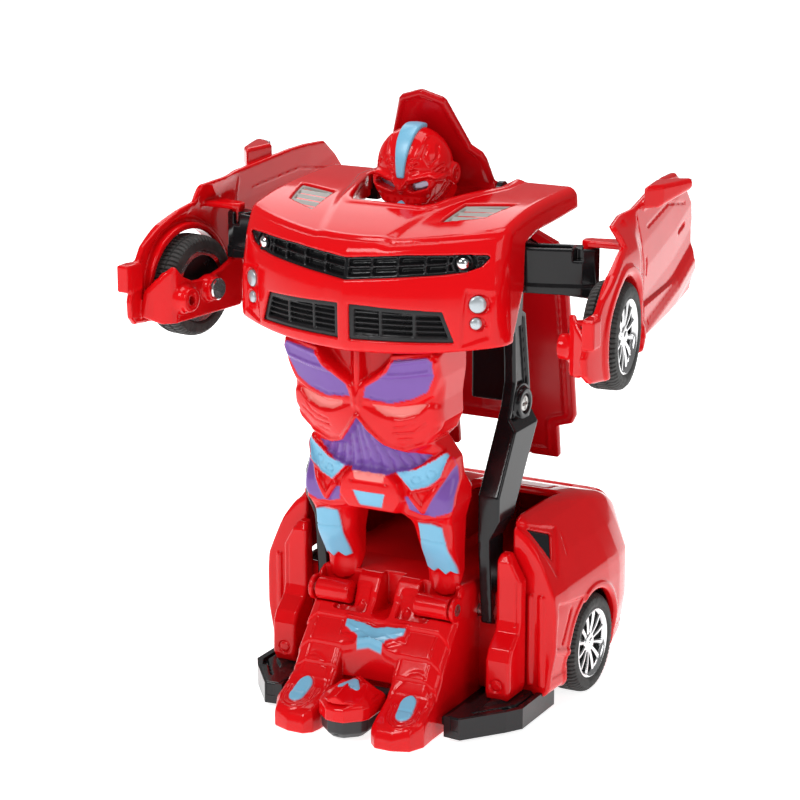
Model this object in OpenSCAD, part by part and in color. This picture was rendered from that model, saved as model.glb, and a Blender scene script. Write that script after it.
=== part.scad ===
// Transforming toy car, standing as a robot. Its front half lifts on two pairs of parallel bars.
// Right-handed frame in mm: X is the robot's left, -Y the way it faces, +Z up, ground at z = 0.
// Each left-hand piece is the mirror image of its right-hand twin.

/* [Body] */
// Half the width of the car's rear shell
body_half = 41; // [40.5:0.5:42]
// Thickness of the moulded shells
wall = 1.8; // [1.4:0.1:2]
// Half the width of the foot block
foot_half = 19.6; // [19.4:0.1:19.8]

/* [Fold] */
// How far the chest sinks from robot to car
chest_drop = 86.8; // [86:0.1:87]
// Turn of the lift bars from robot to car
lift_angle = 100; // [99:1:101]
// Yaw of the arms' fenders in the robot pose
fender_yaw = 8; // [7:0.5:9]

/* [Wheels] */
// Outer radius of a tyre
tyre_r = 12.4; // [12.2:0.1:12.4]
// Outer radius of a rim
rim_r = 8.7; // [8.4:0.1:9]
// Width of a tyre
tyre_w = 8.5; // [8:0.1:8.6]
// Number of spokes in a rim
spokes = 12; // [8:1:14]

/* [Gears] */
// Teeth of the gear on the rear axle
axle_teeth = 20; // [20:1:20]
// Teeth of the motor's pinion
pinion_teeth = 8; // [8:1:8]
// Gear module
gear_module = 0.7; // [0.7:0.1:0.7]

/* [Hidden] */
$fn = 48;
eps = 0.01;
run_fit = 0.05;
// moves the modelling origin, which is on the ground below the chest, to the middle of the box
frame_shift = -2.52;
paint = [0.86, 0.05, 0.05];
black = [0.1, 0.1, 0.1];
sky = [0.5, 0.75, 0.88];
violet = [0.48, 0.35, 0.72];
steel = [0.75, 0.75, 0.77];

// pivots in the Y, Z plane
ankle = [-23, 28.5];
arm_foot = [-10, 25];
lift_len = chest_drop / (1 - cos(lift_angle));
chest_pivot = [ankle[0], ankle[1] + lift_len];
arm_head = [arm_foot[0], arm_foot[1] + lift_len];
knee = [2.7, 74];
roof_pivot = [5.5, 125];
axle = [11.8, tyre_r];
gear_gap = gear_module * (axle_teeth + pinion_teeth) / 2;
motor_axis = [axle[0] - gear_gap, axle[1]];
// pivots in the X, Y plane
shoulder = [26.5, -17];
wheel_face = [60.2, -18.5];
front_wheel_z = 99.2;
elbow_uv = [-12.3, 9.4];
pin_r = 1.5;
shaft_r = 2;
torso_half = 20.3;
arm_in = 20.8;
arm_out = 23.8;
plate_in = 24.2;
plate_out = 27;
beam_z = [105.2, 117];

module at_frame() translate([0, frame_shift, 0]) children();
module both() { children(); mirror([1, 0, 0]) children(); }
module right() mirror([1, 0, 0]) children();
// prisms of an outline: along X from a [y, z] outline, along Y from [x, z], along Z from [x, y]
module prism_x(outline, low, high)
    translate([low, 0, 0]) rotate([90, 0, 90]) linear_extrude(high - low) polygon(outline);
module prism_y(outline, low, high)
    translate([0, high, 0]) rotate([90, 0, 0]) linear_extrude(high - low) polygon(outline);
module prism_z(outline, low, high)
    translate([0, 0, low]) linear_extrude(high - low) polygon(outline);
module rod_x(at, r, low, high)
    translate([low, at[0], at[1]]) rotate([0, 90, 0]) cylinder(r = r, h = high - low);
module rod_z(at, r, low, high)
    translate([at[0], at[1], low]) cylinder(r = r, h = high - low);
module box(low, high) translate(low) cube(high - low);
module in_fender() translate([wheel_face[0], wheel_face[1], 0]) rotate([0, 0, fender_yaw]) children();
// a full mirrored outline from the half with x > 0, listed from bottom to top
function mirrored(half) = concat(half, [for (i = [len(half) - 1:-1:0]) [-half[i][0], half[i][1]]]);

// ---- base: chassis, rear shell and feet ----

battery_bay = [[-27, 20, 2.4], [27, 50.2, 4.4]];

module chassis_plate() at_frame() color(black) {
    difference() {
        union() {
            prism_z(mirrored([[24, -31], [30, -27], [30, -2], [30, 51], [0, 51]]), 2.4, 4.4);
            both() runner();
            both() axle_block();
        }
        box(battery_bay[0] - [0, 0, 1], battery_bay[1] + [0, 0, 1]);
        box([-7.3, -32, 2], [7.3, -26.4, 5]);
        box([10.5, -1.6, 2], [17.5, 5.6, 5]);
        rod_x(axle, pin_r + run_fit, -40, 40);
    }
}
// trough-shaped running board beside the foot
module runner() difference() {
    prism_z([[22, -35], [26.5, -35.5], [34, -26], [36.5, -22], [36.5, -4], [24, -4], [24, -27]], 1.2, 6.4);
    prism_z([[23.6, -36], [25.6, -36], [33, -25.6], [35, -21.6], [35, -5], [25.6, -5], [25.6, -27.4]], 3.2, 7);
}
// block that bears one end of the rear axle
module axle_block() box([26.5, 8, 4.3], [29.5, 15.6, 16.5]);

function shell_side(t) = [[-11 - t, 5 - 2 * t], [-11 - t, 34], [-6, 41 - t], [13.5, 49.6 - t],
    [22, 50 - t], [38, 46 - t], [51 - t, 38 - t], [54 - t, 34], [54.4 - t, 24], [52.5 - t, 9], [49, 5 - 2 * t]];
function shell_front(t) = mirrored([[body_half - 1.5 - t, 2], [body_half - t, 14], [body_half - t, 31 - t],
    [body_half - 4 - t, 38 - t], [28 - t, 50.5 - t]]);
function shell_plan(t) = mirrored([[body_half + 1 - t, -16], [body_half + 1 - t, 32], [38 - t, 47], [31 - t, 55 - t]]);

module rear_shell() at_frame() color(paint) {
    difference() {
        shell_block(0);
        shell_block(wall);
        box([-30, -20, 30], [30, 15, 60]);
        both() rod_x(axle, tyre_r + 1.3, 29, 60);
        both() quarter_prism(body_half - 12, body_half + 2);
        both() tail_cut(0);
    }
    spoiler_lip();
    both() box([30.2, -11, 6.4], [body_half - 1.5, -9.2, 33]);
}
module shell_block(t) intersection() {
    prism_x(shell_side(t), -body_half - 1, body_half + 1);
    prism_y(shell_front(t), -16, 60);
    prism_z(shell_plan(t), -5, 60);
}
module spoiler_lip() prism_x([[48.4, 38.7], [51.2, 36.9], [54.2, 39.4], [53, 40.6]], -29, 29);
module tail_cut(t) prism_y([[18 + t, 29 + t], [29 - t, 29.6 + t], [28.4 - t, 34 - t], [18 + t, 34.4 - t]], 50, 54.9);
module quarter_prism(low, high) prism_x([[-1.5, 40.6], [6, 44.3], [6.8, 41.3], [3.4, 34.5]], low, high);

module rear_deck() at_frame() color(paint) difference() {
    prism_z(mirrored([[28, -4.6], [28, 48], [0, 48]]), 26.5, 28.3);
    rod_x(arm_foot, shaft_r + 1, -30, 30);
}

module quarter_windows() at_frame() color(black) both() intersection() {
    quarter_prism(body_half - 14, body_half + 2);
    difference() {
        shell_block(0.5);
        shell_block(wall);
    }
}

module tail_lights() at_frame() color([0.5, 0.02, 0.02])
    both() intersection() {
        tail_cut(0);
        box([0, 52.4, 20], [40, 54.9, 40]);
    }

foot_profile = [[-5, 4.6], [-5, 33], [-19, 33.3], [-21.8, 31], [-24, 27], [-31, 18.5], [-36, 9.5],
    [-45.2, 5], [-46.4, 0], [-33, 0], [-31, 4.6]];

module foot_block() at_frame() color(paint) difference() {
    union() {
        prism_x(foot_profile, -foot_half, foot_half);
        both() rod_x(ankle, 3.2, 18.5, foot_half);
    }
    both() ankle_pocket();
    rod_x(ankle, pin_r, -30, 30);
    rod_x(arm_foot, shaft_r + run_fit, -30, 30);
    box([-7.3, -50, -1], [7.3, -26.4, 10.4]);
    box([-7.3, -50, -1], [7.3, -31.6, 30]);
    prism_x([[-25, 2], [-25, 12], [-19, 19.5], [-7, 19.5], [-7, 2]], -17.5, 17.5);
}
// room for one leg's knuckle to turn in
module ankle_pocket() {
    rod_x(ankle, 4, 8.3, 18.4);
    prism_x([[-27, 28.5], [-18.9, 28.5], [-18.9, 40], [-27, 40]], 8.3, 18.4);
}

// shallow winged chevron, a generic badge
module foot_emblem() at_frame() color(sky)
    translate([0, -27.4, 23.2]) rotate([50.5, 0, 0])
        linear_extrude(1) polygon(mirrored([[0, -4.5], [3, -1], [7.4, 0.6], [7.4, 3], [2.6, 2.2], [0, 0.6]]));

module toe_pads() at_frame() color(sky)
    both() prism_x([[-44.4, 5.4], [-37.4, 8.9], [-37.6, 9.7], [-44.8, 6.2]], 11.2, 15.8);

side_profile = [[-17, 6.4], [-20.4, 7.4], [-20.8, 13], [-18, 22], [-19, 33], [-16.6, 43], [-13.6, 44.6],
    [-11.6, 43], [-11.6, 6.4]];
module side_block() {
    prism_x(side_profile, 24.4, 32);
    translate([28.4, -18.6, 10.1]) rotate([90, 0, 0]) cylinder(r = 2.3, h = 2.9);
}
module side_block_left() at_frame() color(paint) side_block();
module side_block_right() at_frame() color(paint) right() side_block();

module battery_cover() at_frame() color(black) difference() {
    box(battery_bay[0] + [0.3, 0.3, 0], battery_bay[1] - [0.3, 0.3, 0]);
    rod_z([0, 35.5], 1.2, 2, 5);
    rod_z([0, 35.5], 2.2, 2, 3.4);
}
module battery_cover_screw() at_frame() color(steel) {
    difference() {
        rod_z([0, 35.5], 2.1, 2.5, 3.4);
        box([-1.4, 35.2, 2], [1.4, 35.8, 2.9]);
        box([-0.3, 34.1, 2], [0.3, 36.9, 2.9]);
    }
    rod_z([0, 35.5], 1.1, 3.4, 5.8);
}
module battery_cells() at_frame() color([0.3, 0.32, 0.36]) for (y = [28.1, 42.6]) {
    rod_x([y, 13.4], 7.1, -24.5, 24.5);
    rod_x([y, 13.4], 2.6, 24.5, 25.6);
}
module motor() at_frame() color(steel) {
    intersection() {
        rod_x(motor_axis, 6.4, -22, -3);
        box([-30, -10, motor_axis[1] - 5], [10, 20, motor_axis[1] + 5]);
    }
    rod_x(motor_axis, 2, -3, -1.4);
}
module power_switch() at_frame() color(black) {
    box([11.6, -1.2, 1.3], [16.4, 1.4, 4.4]);
    box([10.8, -2.2, 4.6], [17.2, 2.4, 5.6]);
    box([11.6, -1.2, 4.3], [16.4, 1.4, 4.7]);
}

// ---- drive train ----

module spur_gear(teeth, bore, low, high) {
    pitch_r = gear_module * teeth / 2;
    translate([low, 0, 0]) rotate([0, 90, 0]) difference() {
        union() {
            cylinder(r = pitch_r - 0.95 * gear_module, h = high - low);
            for (i = [0:teeth - 1]) rotate([0, 0, (i + 0.5) * 360 / teeth]) linear_extrude(high - low)
                polygon([[pitch_r - 1.2 * gear_module, -0.62 * gear_module],
                    [pitch_r + 0.7 * gear_module, -0.28 * gear_module],
                    [pitch_r + 0.7 * gear_module, 0.28 * gear_module],
                    [pitch_r - 1.2 * gear_module, 0.62 * gear_module]]);
        }
        translate([0, 0, -1]) cylinder(r = bore, h = high - low + 2);
    }
}
module rear_axle() at_frame() color(steel) rod_x(axle, pin_r, -38.2, 38.2);
module axle_gear() at_frame() color([0.85, 0.85, 0.8])
    translate([0, axle[0], axle[1]]) rotate([180 / axle_teeth, 0, 0]) spur_gear(axle_teeth, pin_r, 2.4, 5.4);
module motor_pinion() at_frame() color([0.8, 0.65, 0.3])
    translate([0, motor_axis[0], motor_axis[1]]) spur_gear(pinion_teeth, 0.75, 2.2, 5.6);

// ---- wheels, drawn with the outer face at x = 0 and the axis on X ----

module tyre() rotate([0, 90, 0]) rotate_extrude()
    polygon([[rim_r, -tyre_w], [tyre_r - 1, -tyre_w], [tyre_r, -tyre_w + 1.2], [tyre_r, -1.2],
        [tyre_r - 1, 0], [rim_r, 0]]);
module rim() rotate([0, 90, 0]) {
    rotate_extrude() polygon([[rim_r - 1, -tyre_w + 0.6], [rim_r, -tyre_w + 0.6], [rim_r, -0.3], [rim_r - 1, -0.3]]);
    difference() {
        union() {
            translate([0, 0, -4.4]) cylinder(r = rim_r - 0.9, h = 1.2);
            translate([0, 0, -tyre_w + 0.6]) cylinder(r = 2.6, h = tyre_w - 1.6);
        }
        translate([0, 0, -tyre_w]) cylinder(r = pin_r, h = tyre_w - 1.6);
    }
    for (i = [0:spokes - 1]) rotate([0, 0, i * 360 / spokes])
        translate([2, -0.5, -3.3]) cube([rim_r - 2.9, 1, 1.9]);
}
module at_rear_wheel() translate([40, axle[0], axle[1]]) children();
module rear_tyre_left() at_frame() color(black) at_rear_wheel() tyre();
module rear_tyre_right() at_frame() color(black) right() at_rear_wheel() tyre();
module rear_rim_left() at_frame() color(steel) at_rear_wheel() rim();
module rear_rim_right() at_frame() color(steel) right() at_rear_wheel() rim();

// ---- trigger between the toes ----

module trigger_block() at_frame() color(black)
    prism_x([[-48, 2], [-48, 7.6], [-46, 9], [-29.6, 9], [-29.6, 1], [-47, 1]], -6.7, 6.7);
module trigger_cap() at_frame() color(paint)
    prism_x([[-46, 9], [-44.6, 10.6], [-36, 13], [-34.6, 9]], -5.4, 5.4);
module trigger_gem() at_frame() color(sky)
    translate([0, -40, 11.89]) rotate([15.59, 0, 0]) box([-2.2, -2.6, 0], [2.2, 2.6, 0.9]);

// ---- torso and legs: the front bar of the lift ----

torso_side = [[-25.4, 30], [-22.4, 36], [-24.6, 43], [-27.2, 50], [-28.4, 52.6], [-31.4, 54], [-31.6, 60.6],
    [-29.2, 62.4], [-31.6, 67], [-36, 76], [-37, 82], [-38.8, 91.2], [-36.8, 93], [-35, 98.5], [-20, 98.5], [-20, 62],
    [-16, 58], [-15.4, 36.6], [-19.4, 34.4], [-21.4, 31.6]];
torso_inner = [[-20.4, 40], [-24.8, 50], [-26.4, 56], [-26.4, 63], [-29.6, 68], [-34, 76.6], [-35.2, 83], [-36.2, 90],
    [-34.6, 93.6], [-32, 103], [-5, 103], [-5, 40]];
torso_front = mirrored([[0, 50], [4, 50], [7, 53], [8.9, 47], [8.9, 24], [17.9, 24], [18.3, 50], [19.6, 58],
    [19, 61.5], [15, 67], [16.5, 72], [19.4, 82], [torso_half, 88], [torso_half, 98.5]]);
torso_front_inner = mirrored([[0, 54], [7.6, 56], [10.7, 52], [10.7, 40], [16.2, 40], [16.5, 50], [17.4, 58], [13.2, 67],
    [14.8, 72], [17.4, 82], [18.4, 88], [18.4, 105]]);
torso_plan = mirrored([[0, -39], [13, -38.9], [17.2, -36.2], [torso_half, -32], [torso_half, -10]]);

module torso_shell() at_frame() color(paint) difference() {
    union() {
        intersection() {
            prism_x(torso_side, -torso_half, torso_half);
            prism_y(torso_front, -40, -10);
            prism_z(torso_plan, 20, 110);
        }
        both() rod_x(ankle, 3.4, 8.9, 17.9);
        both() prism_x([[-20, 95], [-28, 96], [-26, chest_pivot[1]], [-20, chest_pivot[1]]],
            torso_half - 1.9, torso_half);
        both() rod_x(chest_pivot, 3, torso_half - 1.9, torso_half);
    }
    intersection() {
        prism_x(torso_inner, -torso_half, torso_half);
        prism_y(torso_front_inner, -40, -10);
    }
    rod_x(ankle, pin_r + run_fit, -30, 30);
    rod_x(chest_pivot, pin_r + run_fit, -30, 30);
}
// painted relief on the torso, each a thin plate standing on the shell's front
module on_torso(low, high, outline) intersection() {
    prism_x([for (p = torso_side) [p[0] - (p[0] < -22 ? high : 0), p[1]]], -torso_half, torso_half);
    prism_y(outline, -40, -21);
    difference() {
        prism_x([[-45, 20], [-45, 100], [-20, 100], [-20, 20]], -torso_half, torso_half);
        prism_x([for (p = torso_side) [p[0] - low, p[1]]], -torso_half - 1, torso_half + 1);
    }
}
module chest_inserts() at_frame() color(violet)
    both() on_torso(0, 0.5, [[1.4, 81.6], [9, 80.4], [13, 82], [13, 91], [11, 91], [8, 87]]);
module abs_insert() at_frame() color(violet) {
    on_torso(0, 0.5, mirrored([[0, 63], [7, 63], [13, 65.4], [9, 69], [4, 75.4], [0, 76.4]]));
    both() on_torso(0, 0.4, [[9.6, 51], [16.6, 51], [16.8, 57], [15.6, 58], [12.8, 53.6], [10, 56]]);
}
module belt_panels() at_frame() color(sky) {
    both() on_torso(0, 0.5, [[7, 61.6], [10, 58.2], [16.6, 61], [16.4, 64]]);
    on_torso(0, 0.5, mirrored([[3, 54.2], [4.2, 57.4], [0, 57.6]]));
}
module shin_pads() at_frame() color(sky)
    both() on_torso(0, 0.5, [[11, 38.4], [13, 39.4], [15, 38], [17.4, 37], [17.2, 49.6], [10.6, 49.6]]);
module ankle_pins() at_frame() color(steel) both() rod_x(ankle, pin_r, 14, foot_half);

// ---- lift arms: the rear bar of the lift ----

arm_outline = [[-13, 22.6], [-10, 21.4], [-7, 22.6], [-6.6, 45], [-5.6, 50], [8.2, 71], [7.4, 79], [4.6, 96],
    [-6, 101.9], [-10, 102.4], [-13, 100.6], [-13.2, 96.4], [-2, 92], [-1.4, 80], [-3.2, 74], [-15, 55], [-15.2, 44]];
module lift_arm() difference() {
    union() {
        prism_x(arm_outline, arm_in, arm_out);
        rod_x(knee, 5.4, arm_in, arm_out);
        box([12.2, 3.2, 76], [arm_in + eps, 4.8, 91]);
    }
    rod_x(arm_foot, shaft_r, 10, 30);
    rod_x(arm_head, pin_r + run_fit, 10, 30);
    rod_x(knee, 2.1, arm_out - 1, 30);
    rod_x(knee, 1.1, arm_out - 2.6, 30);
}
module lift_arm_left() at_frame() color(black) lift_arm();
module lift_arm_right() at_frame() color(black) right() lift_arm();
module lift_shaft() at_frame() color(steel) rod_x(arm_foot, shaft_r, -arm_out, arm_out);
module knee_screws() at_frame() color(steel) both() {
    difference() {
        rod_x(knee, 2, arm_out - 1, arm_out + 0.1);
        box([arm_out - 0.5, knee[0] - 1.3, knee[1] - 0.3], [30, knee[0] + 1.3, knee[1] + 0.3]);
        box([arm_out - 0.5, knee[0] - 0.3, knee[1] - 1.3], [30, knee[0] + 0.3, knee[1] + 1.3]);
    }
    rod_x(knee, 1, arm_out - 2.4, arm_out - 1 + eps);
}

// ---- chest: frame, hood and bumper ----

plate_outline = [[-34, 98], [-34, 113.6], [-31.6, 117.2], [-22, 120.4], [-12, 121.8], [9, 122.4], [9, 119.9],
    [-11, 119.7], [-11, 117.6], [-22.6, 117.6], [-22.6, 104.6], [-4, 104.6], [-5, 95.4], [-14, 94.6], [-31, 97]];
module chest_frame() at_frame() color(black) difference() {
    union() {
        both() prism_x(plate_outline, plate_in, plate_out);
        box([-plate_in - eps, -34, 100], [plate_in + eps, -32.4, 112]);
        both() {
            rod_z(shoulder, 2.4, 101.4, 104.6);
            rod_z(shoulder, 2.4, 117.6, 119.4);
            rod_z(shoulder, pin_r, 104, 118);
            box([15.9, 3.5, 119.9], [plate_in + eps, 7.5, 122.3]);
            roof_ear();
            bumper_tab();
        }
    }
    rod_x(chest_pivot, pin_r, -30, 30);
    rod_x(arm_head, pin_r, -30, 30);
}
module roof_ear() difference() {
    union() {
        box([15.9, 3.5, 120], [17.2, 7.5, 125]);
        rod_x(roof_pivot, 2, 15.9, 17.2);
    }
    rod_x(roof_pivot, 1 + run_fit, 10, 20);
}
module bumper_tab() box([plate_out - eps, -30.2, 98.4], [31.3, -27.4, 100]);
module chest_pins() at_frame() color(steel) both() {
    rod_x(chest_pivot, pin_r, torso_half - 2.4, plate_out);
    rod_x(arm_head, pin_r, arm_in, plate_out);
}

// hood and bumper: side outline, front outline and plan of the outer skin
function nose_side(t) = [[-31 + 3 * t, 92 - t], [-40.5 + t, 93.2 - t], [-43 + t, 98], [-43.2 + t, 106], [-42.4 + t, 114],
    [-40.5 + t, 117 - t], [-34, 120.2 - t], [-22, 123.6 - t], [-10, 125 - t], [11 + t, 126.2 - t], [11 + t, 121 - 3 * t],
    [-12, 119.6 - 3 * t], [-18.8, 117.9 - 2 * t], [-20.6, 108 - t], [-26.6, 98 - t]];
function nose_plan(t) = mirrored([[0, -43.2 + t], [12, -42.2 + t], [24, -38.6 + t], [31.5 - t, -33.6 + t],
    [34.2 - t, -29], [34.2 - t, -18], [33.6 - t, 12], [0, 12]]);
notch_plan = mirrored([[8.8, -21], [10.8, -19], [17.6, 2], [17.6, 14]]);

module front_shell() at_frame() color(paint) difference() {
    nose_block(0);
    nose_block(wall);
    prism_z(notch_plan, 118, 130);
    grille_cut();
    both() lower_cut(1.5, 23.2, 24.6);
    both() vent_cut();
    both() lamp_cut([26.1, 115.4], 2.3, -41);
    both() lamp_cut([29.7, 106.6], 2, -41);
    both() lamp_cut([29.3, 102.1], 1.3, -41);
}
module nose_block(t) intersection() {
    prism_x(nose_side(t), -36, 36);
    prism_z(nose_plan(t), 80, 130);
}
grille_front = mirrored([[0, 111.6], [22, 113], [24, 117.4], [0, 116.4]]);
module grille_cut() prism_y(grille_front, -45, -36);
module lower_cut(inner, top, bottom) prism_y([[inner, 97.4], [bottom, 97.4], [top, 105], [inner, 105.4]], -45, -34);
module vent_cut() prism_z([[17.3, -15.1], [16.7, -27], [25.6, -22.4], [28.4, -11]], 118, 130);
module lamp_cut(at, r, low) translate([at[0], -30, at[1]]) rotate([90, 0, 0]) cylinder(r = r, h = 12);

module main_grille() at_frame() color(black) intersection() {
    difference() {
        nose_block(0.7);
        nose_block(wall);
    }
    prism_y([for (p = grille_front) [p[0] * 0.995, (p[1] - 114.4) * 0.96 + 114.4]], -45, -36);
}
module lower_grilles() at_frame() color(black) both() intersection() {
    difference() {
        nose_block(0.7);
        nose_block(wall);
    }
    prism_y([[1.7, 97.6], [24.3, 97.6], [23, 104.8], [1.7, 105.2]], -45, -34);
}
module lamp(at, r) translate([at[0], -30.2, at[1]]) rotate([90, 0, 0]) cylinder(r = r, h = 12);
module headlights() at_frame() color(steel) both() intersection() {
    lamp([26.1, 115.4], 2.2);
    nose_block(0.3);
    box([20, -40, 112], [30, -34.3, 119]);
}
module fog_lights() at_frame() color([0.6, 0.68, 0.72]) both() intersection() {
    union() {
        lamp([29.7, 106.6], 1.9);
        lamp([29.3, 102.1], 1.2);
    }
    nose_block(0.1);
    box([26, -40, 98], [33, -31.4, 110]);
}
module hood_vents() at_frame() color([0.45, 0.45, 0.44]) both() intersection() {
    difference() {
        nose_block(0.4);
        nose_block(wall);
    }
    prism_z([[17.5, -15.2], [16.9, -26.7], [25.4, -22.2], [28.1, -11.2]], 118, 130);
}

// ---- roof, windshield and head, which turn together behind the hood ----

roof_side = [[6.6, 123.2], [25, 104.8], [34.2, 52.4], [32.2, 52], [23.2, 104], [4.9, 122]];
roof_front = mirrored([[5, 51], [5, 57], [5, 60]]);
module roof_panel() at_frame() color(paint) {
    difference() {
        union() {
            prism_x(roof_side, -25.6, 25.6);
            rod_x(roof_pivot, 1.8, -15.5, 15.5);
            prism_x([[3.9, 124], [4.4, 121.6], [7.6, 121.6], [7.2, 125]], -15.5, 15.5);
            fin();
        }
        prism_y(mirrored([[0, 40], [7.4, 40], [7.4, 60], [0, 60]]), -20, 60);
        both() prism_y([[15.6, 119], [15.6, 130], [40, 130], [40, 111], [25.6, 111], [17, 116.6]], 3, 60);
        both() prism_y([[20.6, 40], [20.6, 61], [24.6, 62], [25, 59.6], [27, 59], [40, 40]], -20, 60);
        prism_y(window_front, 3, 60);
    }
    both() rod_x(roof_pivot, 1, 15.4, 17.2);
}
window_front = mirrored([[0, 107.4], [20.4, 107.4], [20.4, 110], [13.8, 116], [12.4, 119.4], [0, 119.4]]);
module fin() prism_between([5.4, 125], [-4.4, 149.2], 1.8, mirrored([[15.4, 0], [14, 8], [13.4, 9.6], [10.8, 11.4], [6, 23.8], [0, 26]]));
// a flat plate standing along the line from one [y, z] point to another
module prism_between(from, to, thick, outline) translate([0, from[0], from[1]])
    rotate([-atan2(to[0] - from[0], to[1] - from[1]) , 0, 0])
        translate([0, thick / 2, 0]) rotate([90, 0, 0]) linear_extrude(thick) polygon(outline);

module windshield() at_frame() color(black) intersection() {
    prism_x([for (p = roof_side) p + [0.0, 0.0]], -25.6, 25.6);
    prism_y([for (p = window_front) [p[0] * 0.985, (p[1] - 113.4) * 0.97 + 113.4]], 3, 60);
}

// helmet with a brow and a neck, generic in every line
head_side = [[-2, 121.6], [-1.2, 132], [-3.4, 138.6], [-8, 141], [-12, 138.6], [-14.6, 132.4], [-14.8, 127.6], [-13.4, 123.4], [-12, 121.6]];
head_front = mirrored([[4.4, 121.6], [8.2, 126.4], [9.4, 131], [8.8, 136], [5.6, 140], [0, 141]]);
module head() at_frame() color(paint) difference() {
    union() {
        intersection() {
            prism_x(head_side, -10, 10);
            prism_y(head_front, -20, 4);
        }
        prism_x([[-2.6, 124.6], [3.6, 124.6], [0, 134], [-2.6, 134]], -5, 5);
    }
    both() eye_cut(0);
}
module eye_cut(t) translate([4, -15, 128.4]) rotate([0, -14, 0]) box([-1.9 + t, -2, -0.8 + t], [1.9 - t, 1.6, 0.8 - t]);
module eyes() at_frame() color([0.55, 0.5, 0.7]) both() intersection() {
    eye_cut(0.05);
    box([-10, -14.4, 120], [10, -5, 140]);
}
module head_crest() at_frame() color(sky) intersection() {
    difference() {
        prism_x([[-8, 142], [-12.4, 139.4], [-15.2, 132.6], [-15.2, 129.4], [-10, 129.4], [-3, 141]], -2, 2);
        prism_x(head_side, -3, 3);
    }
    prism_y(mirrored([[0.9, 129], [2, 142]]), -20, 4);
}

// ---- arms: beam, fender with door, and front wheel ----

beam_plan = [[25.4, -20], [28.4, -19.8], [38.6, -17], [46.4, -14.2], [48.9, -12.6], [49.5, -10.9], [48.6, -8.8],
    [46.9, -8], [45.6, -7.9], [27, -13.8], [24.4, -15.6], [24.2, -18]];
module at_left_elbow() in_fender() translate([elbow_uv[0], elbow_uv[1], 0]) children();
module arm_beam() difference() {
    prism_z(beam_plan, beam_z[0], beam_z[1]);
    prism_z([[30.4, -17.6], [37.8, -15.6], [41.6, -14.2], [41, -10.6], [30.4, -14]], 107, 120);
    rod_z(shoulder, pin_r + run_fit, 100, 120);
    at_left_elbow() cylinder(r = pin_r + run_fit, h = 130);
}
module arm_beam_left() at_frame() color(black) arm_beam();
module arm_beam_right() at_frame() color(black) right() arm_beam();

door_outline = [[-23, 100], [-22, 94.6], [-15, 92.4], [14, 92.4], [17, 95.4], [50, 95.6], [62, 96.6], [66.4, 100.6],
    [63.4, 104.2], [65.6, 110], [66.2, 114.2], [62, 121.4], [54, 127.2], [40, 127], [22, 125.2], [3.4, 123.4],
    [3.2, 118.4], [-6, 116.4], [-15, 111.6], [-21, 105]];
module fender() in_fender() difference() {
    union() {
        difference() {
            prism_x(door_outline, -4, -2.2);
            rod_x([0, front_wheel_z], tyre_r + 1.2, -12, 8);
        }
        intersection() {
            prism_x(door_outline, -9, 0);
            difference() {
                rod_x([0, front_wheel_z], tyre_r + 3, -9, -0.4);
                rod_x([0, front_wheel_z], tyre_r + 1.2, -12, 8);
            }
        }
        prism_x([[17, 95.6], [50, 95.6], [62, 96.6], [66, 100.6], [56, 103.4], [30, 104.4], [17, 103.4]], -3, -0.4);
        liner();
        front_lug();
        mirror_arm();
        elbow_bracket();
    }
    rod_x([0, front_wheel_z], pin_r + run_fit, -30, 0);
}
// inner wheel housing with two hollow bosses
module liner() {
    difference() {
        prism_x([[-18, 95], [-17.2, 100.6], [-13, 106.6], [-8, 103.4], [8, 103.4], [13, 104.6], [15, 98], [12, 92.4],
            [-15, 92.4]], -10.6, -9);
        rod_x([-9.5, 97.4], 1.4, -20, 0);
    }
    prism_x([[-18, 95], [-17.2, 100.6], [-13, 106.6], [-11.6, 105.4], [-15.4, 99], [-15, 92.6]], -9.2, -2.4);
    prism_x([[14.4, 93], [15.6, 104.4], [17.4, 104.4], [17.4, 95.4]], -9.2, -2.4);
    prism_x([[12.6, 93], [12.6, 99], [17.4, 99], [17.4, 93]], -10.6, -9);
    rod_x([0, front_wheel_z], 2.8, -13, -9.2);
    difference() {
        rod_x([-9.5, 97.4], 2.6, -13.6, -9.2);
        rod_x([-9.5, 97.4], 1.4, -20, 0);
    }
}
module front_lug() {
    prism_z([[-9, -30.4], [-5.2, -30.4], [-4.2, -22], [-2.4, -21], [-2.4, -18], [-4.2, -18], [-6, -22.6]], 99, 109.6);
}
module mirror_arm() prism_z([[-3.6, 24], [-3.6, 34], [1, 38.4], [4.4, 39.4], [4.4, 36.8], [0.4, 28.6]], 125.6, 129.6);
module elbow_bracket() {
    prism_z([[-4, 4.4], [-4, 16], [-11, 12.6], [-12.3, 12.8], [-14.6, 11.8], [-14.8, 7.4], [-12, 6.4]],
        beam_z[1] + 0.3, beam_z[1] + 2.1);
    translate([elbow_uv[0], elbow_uv[1], beam_z[0]]) cylinder(r = pin_r, h = beam_z[1] - beam_z[0] + 0.5);
}
module fender_left() at_frame() color(paint) fender();
module fender_right() at_frame() color(paint) right() fender();
module mirror_glass() in_fender() prism_z([[0.8, 38.5], [4.3, 39.5], [4.2, 40.1], [0.7, 39.1]], 126, 129.2);
module mirror_glass_left() at_frame() color(sky) mirror_glass();
module mirror_glass_right() at_frame() color(sky) right() mirror_glass();

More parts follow.
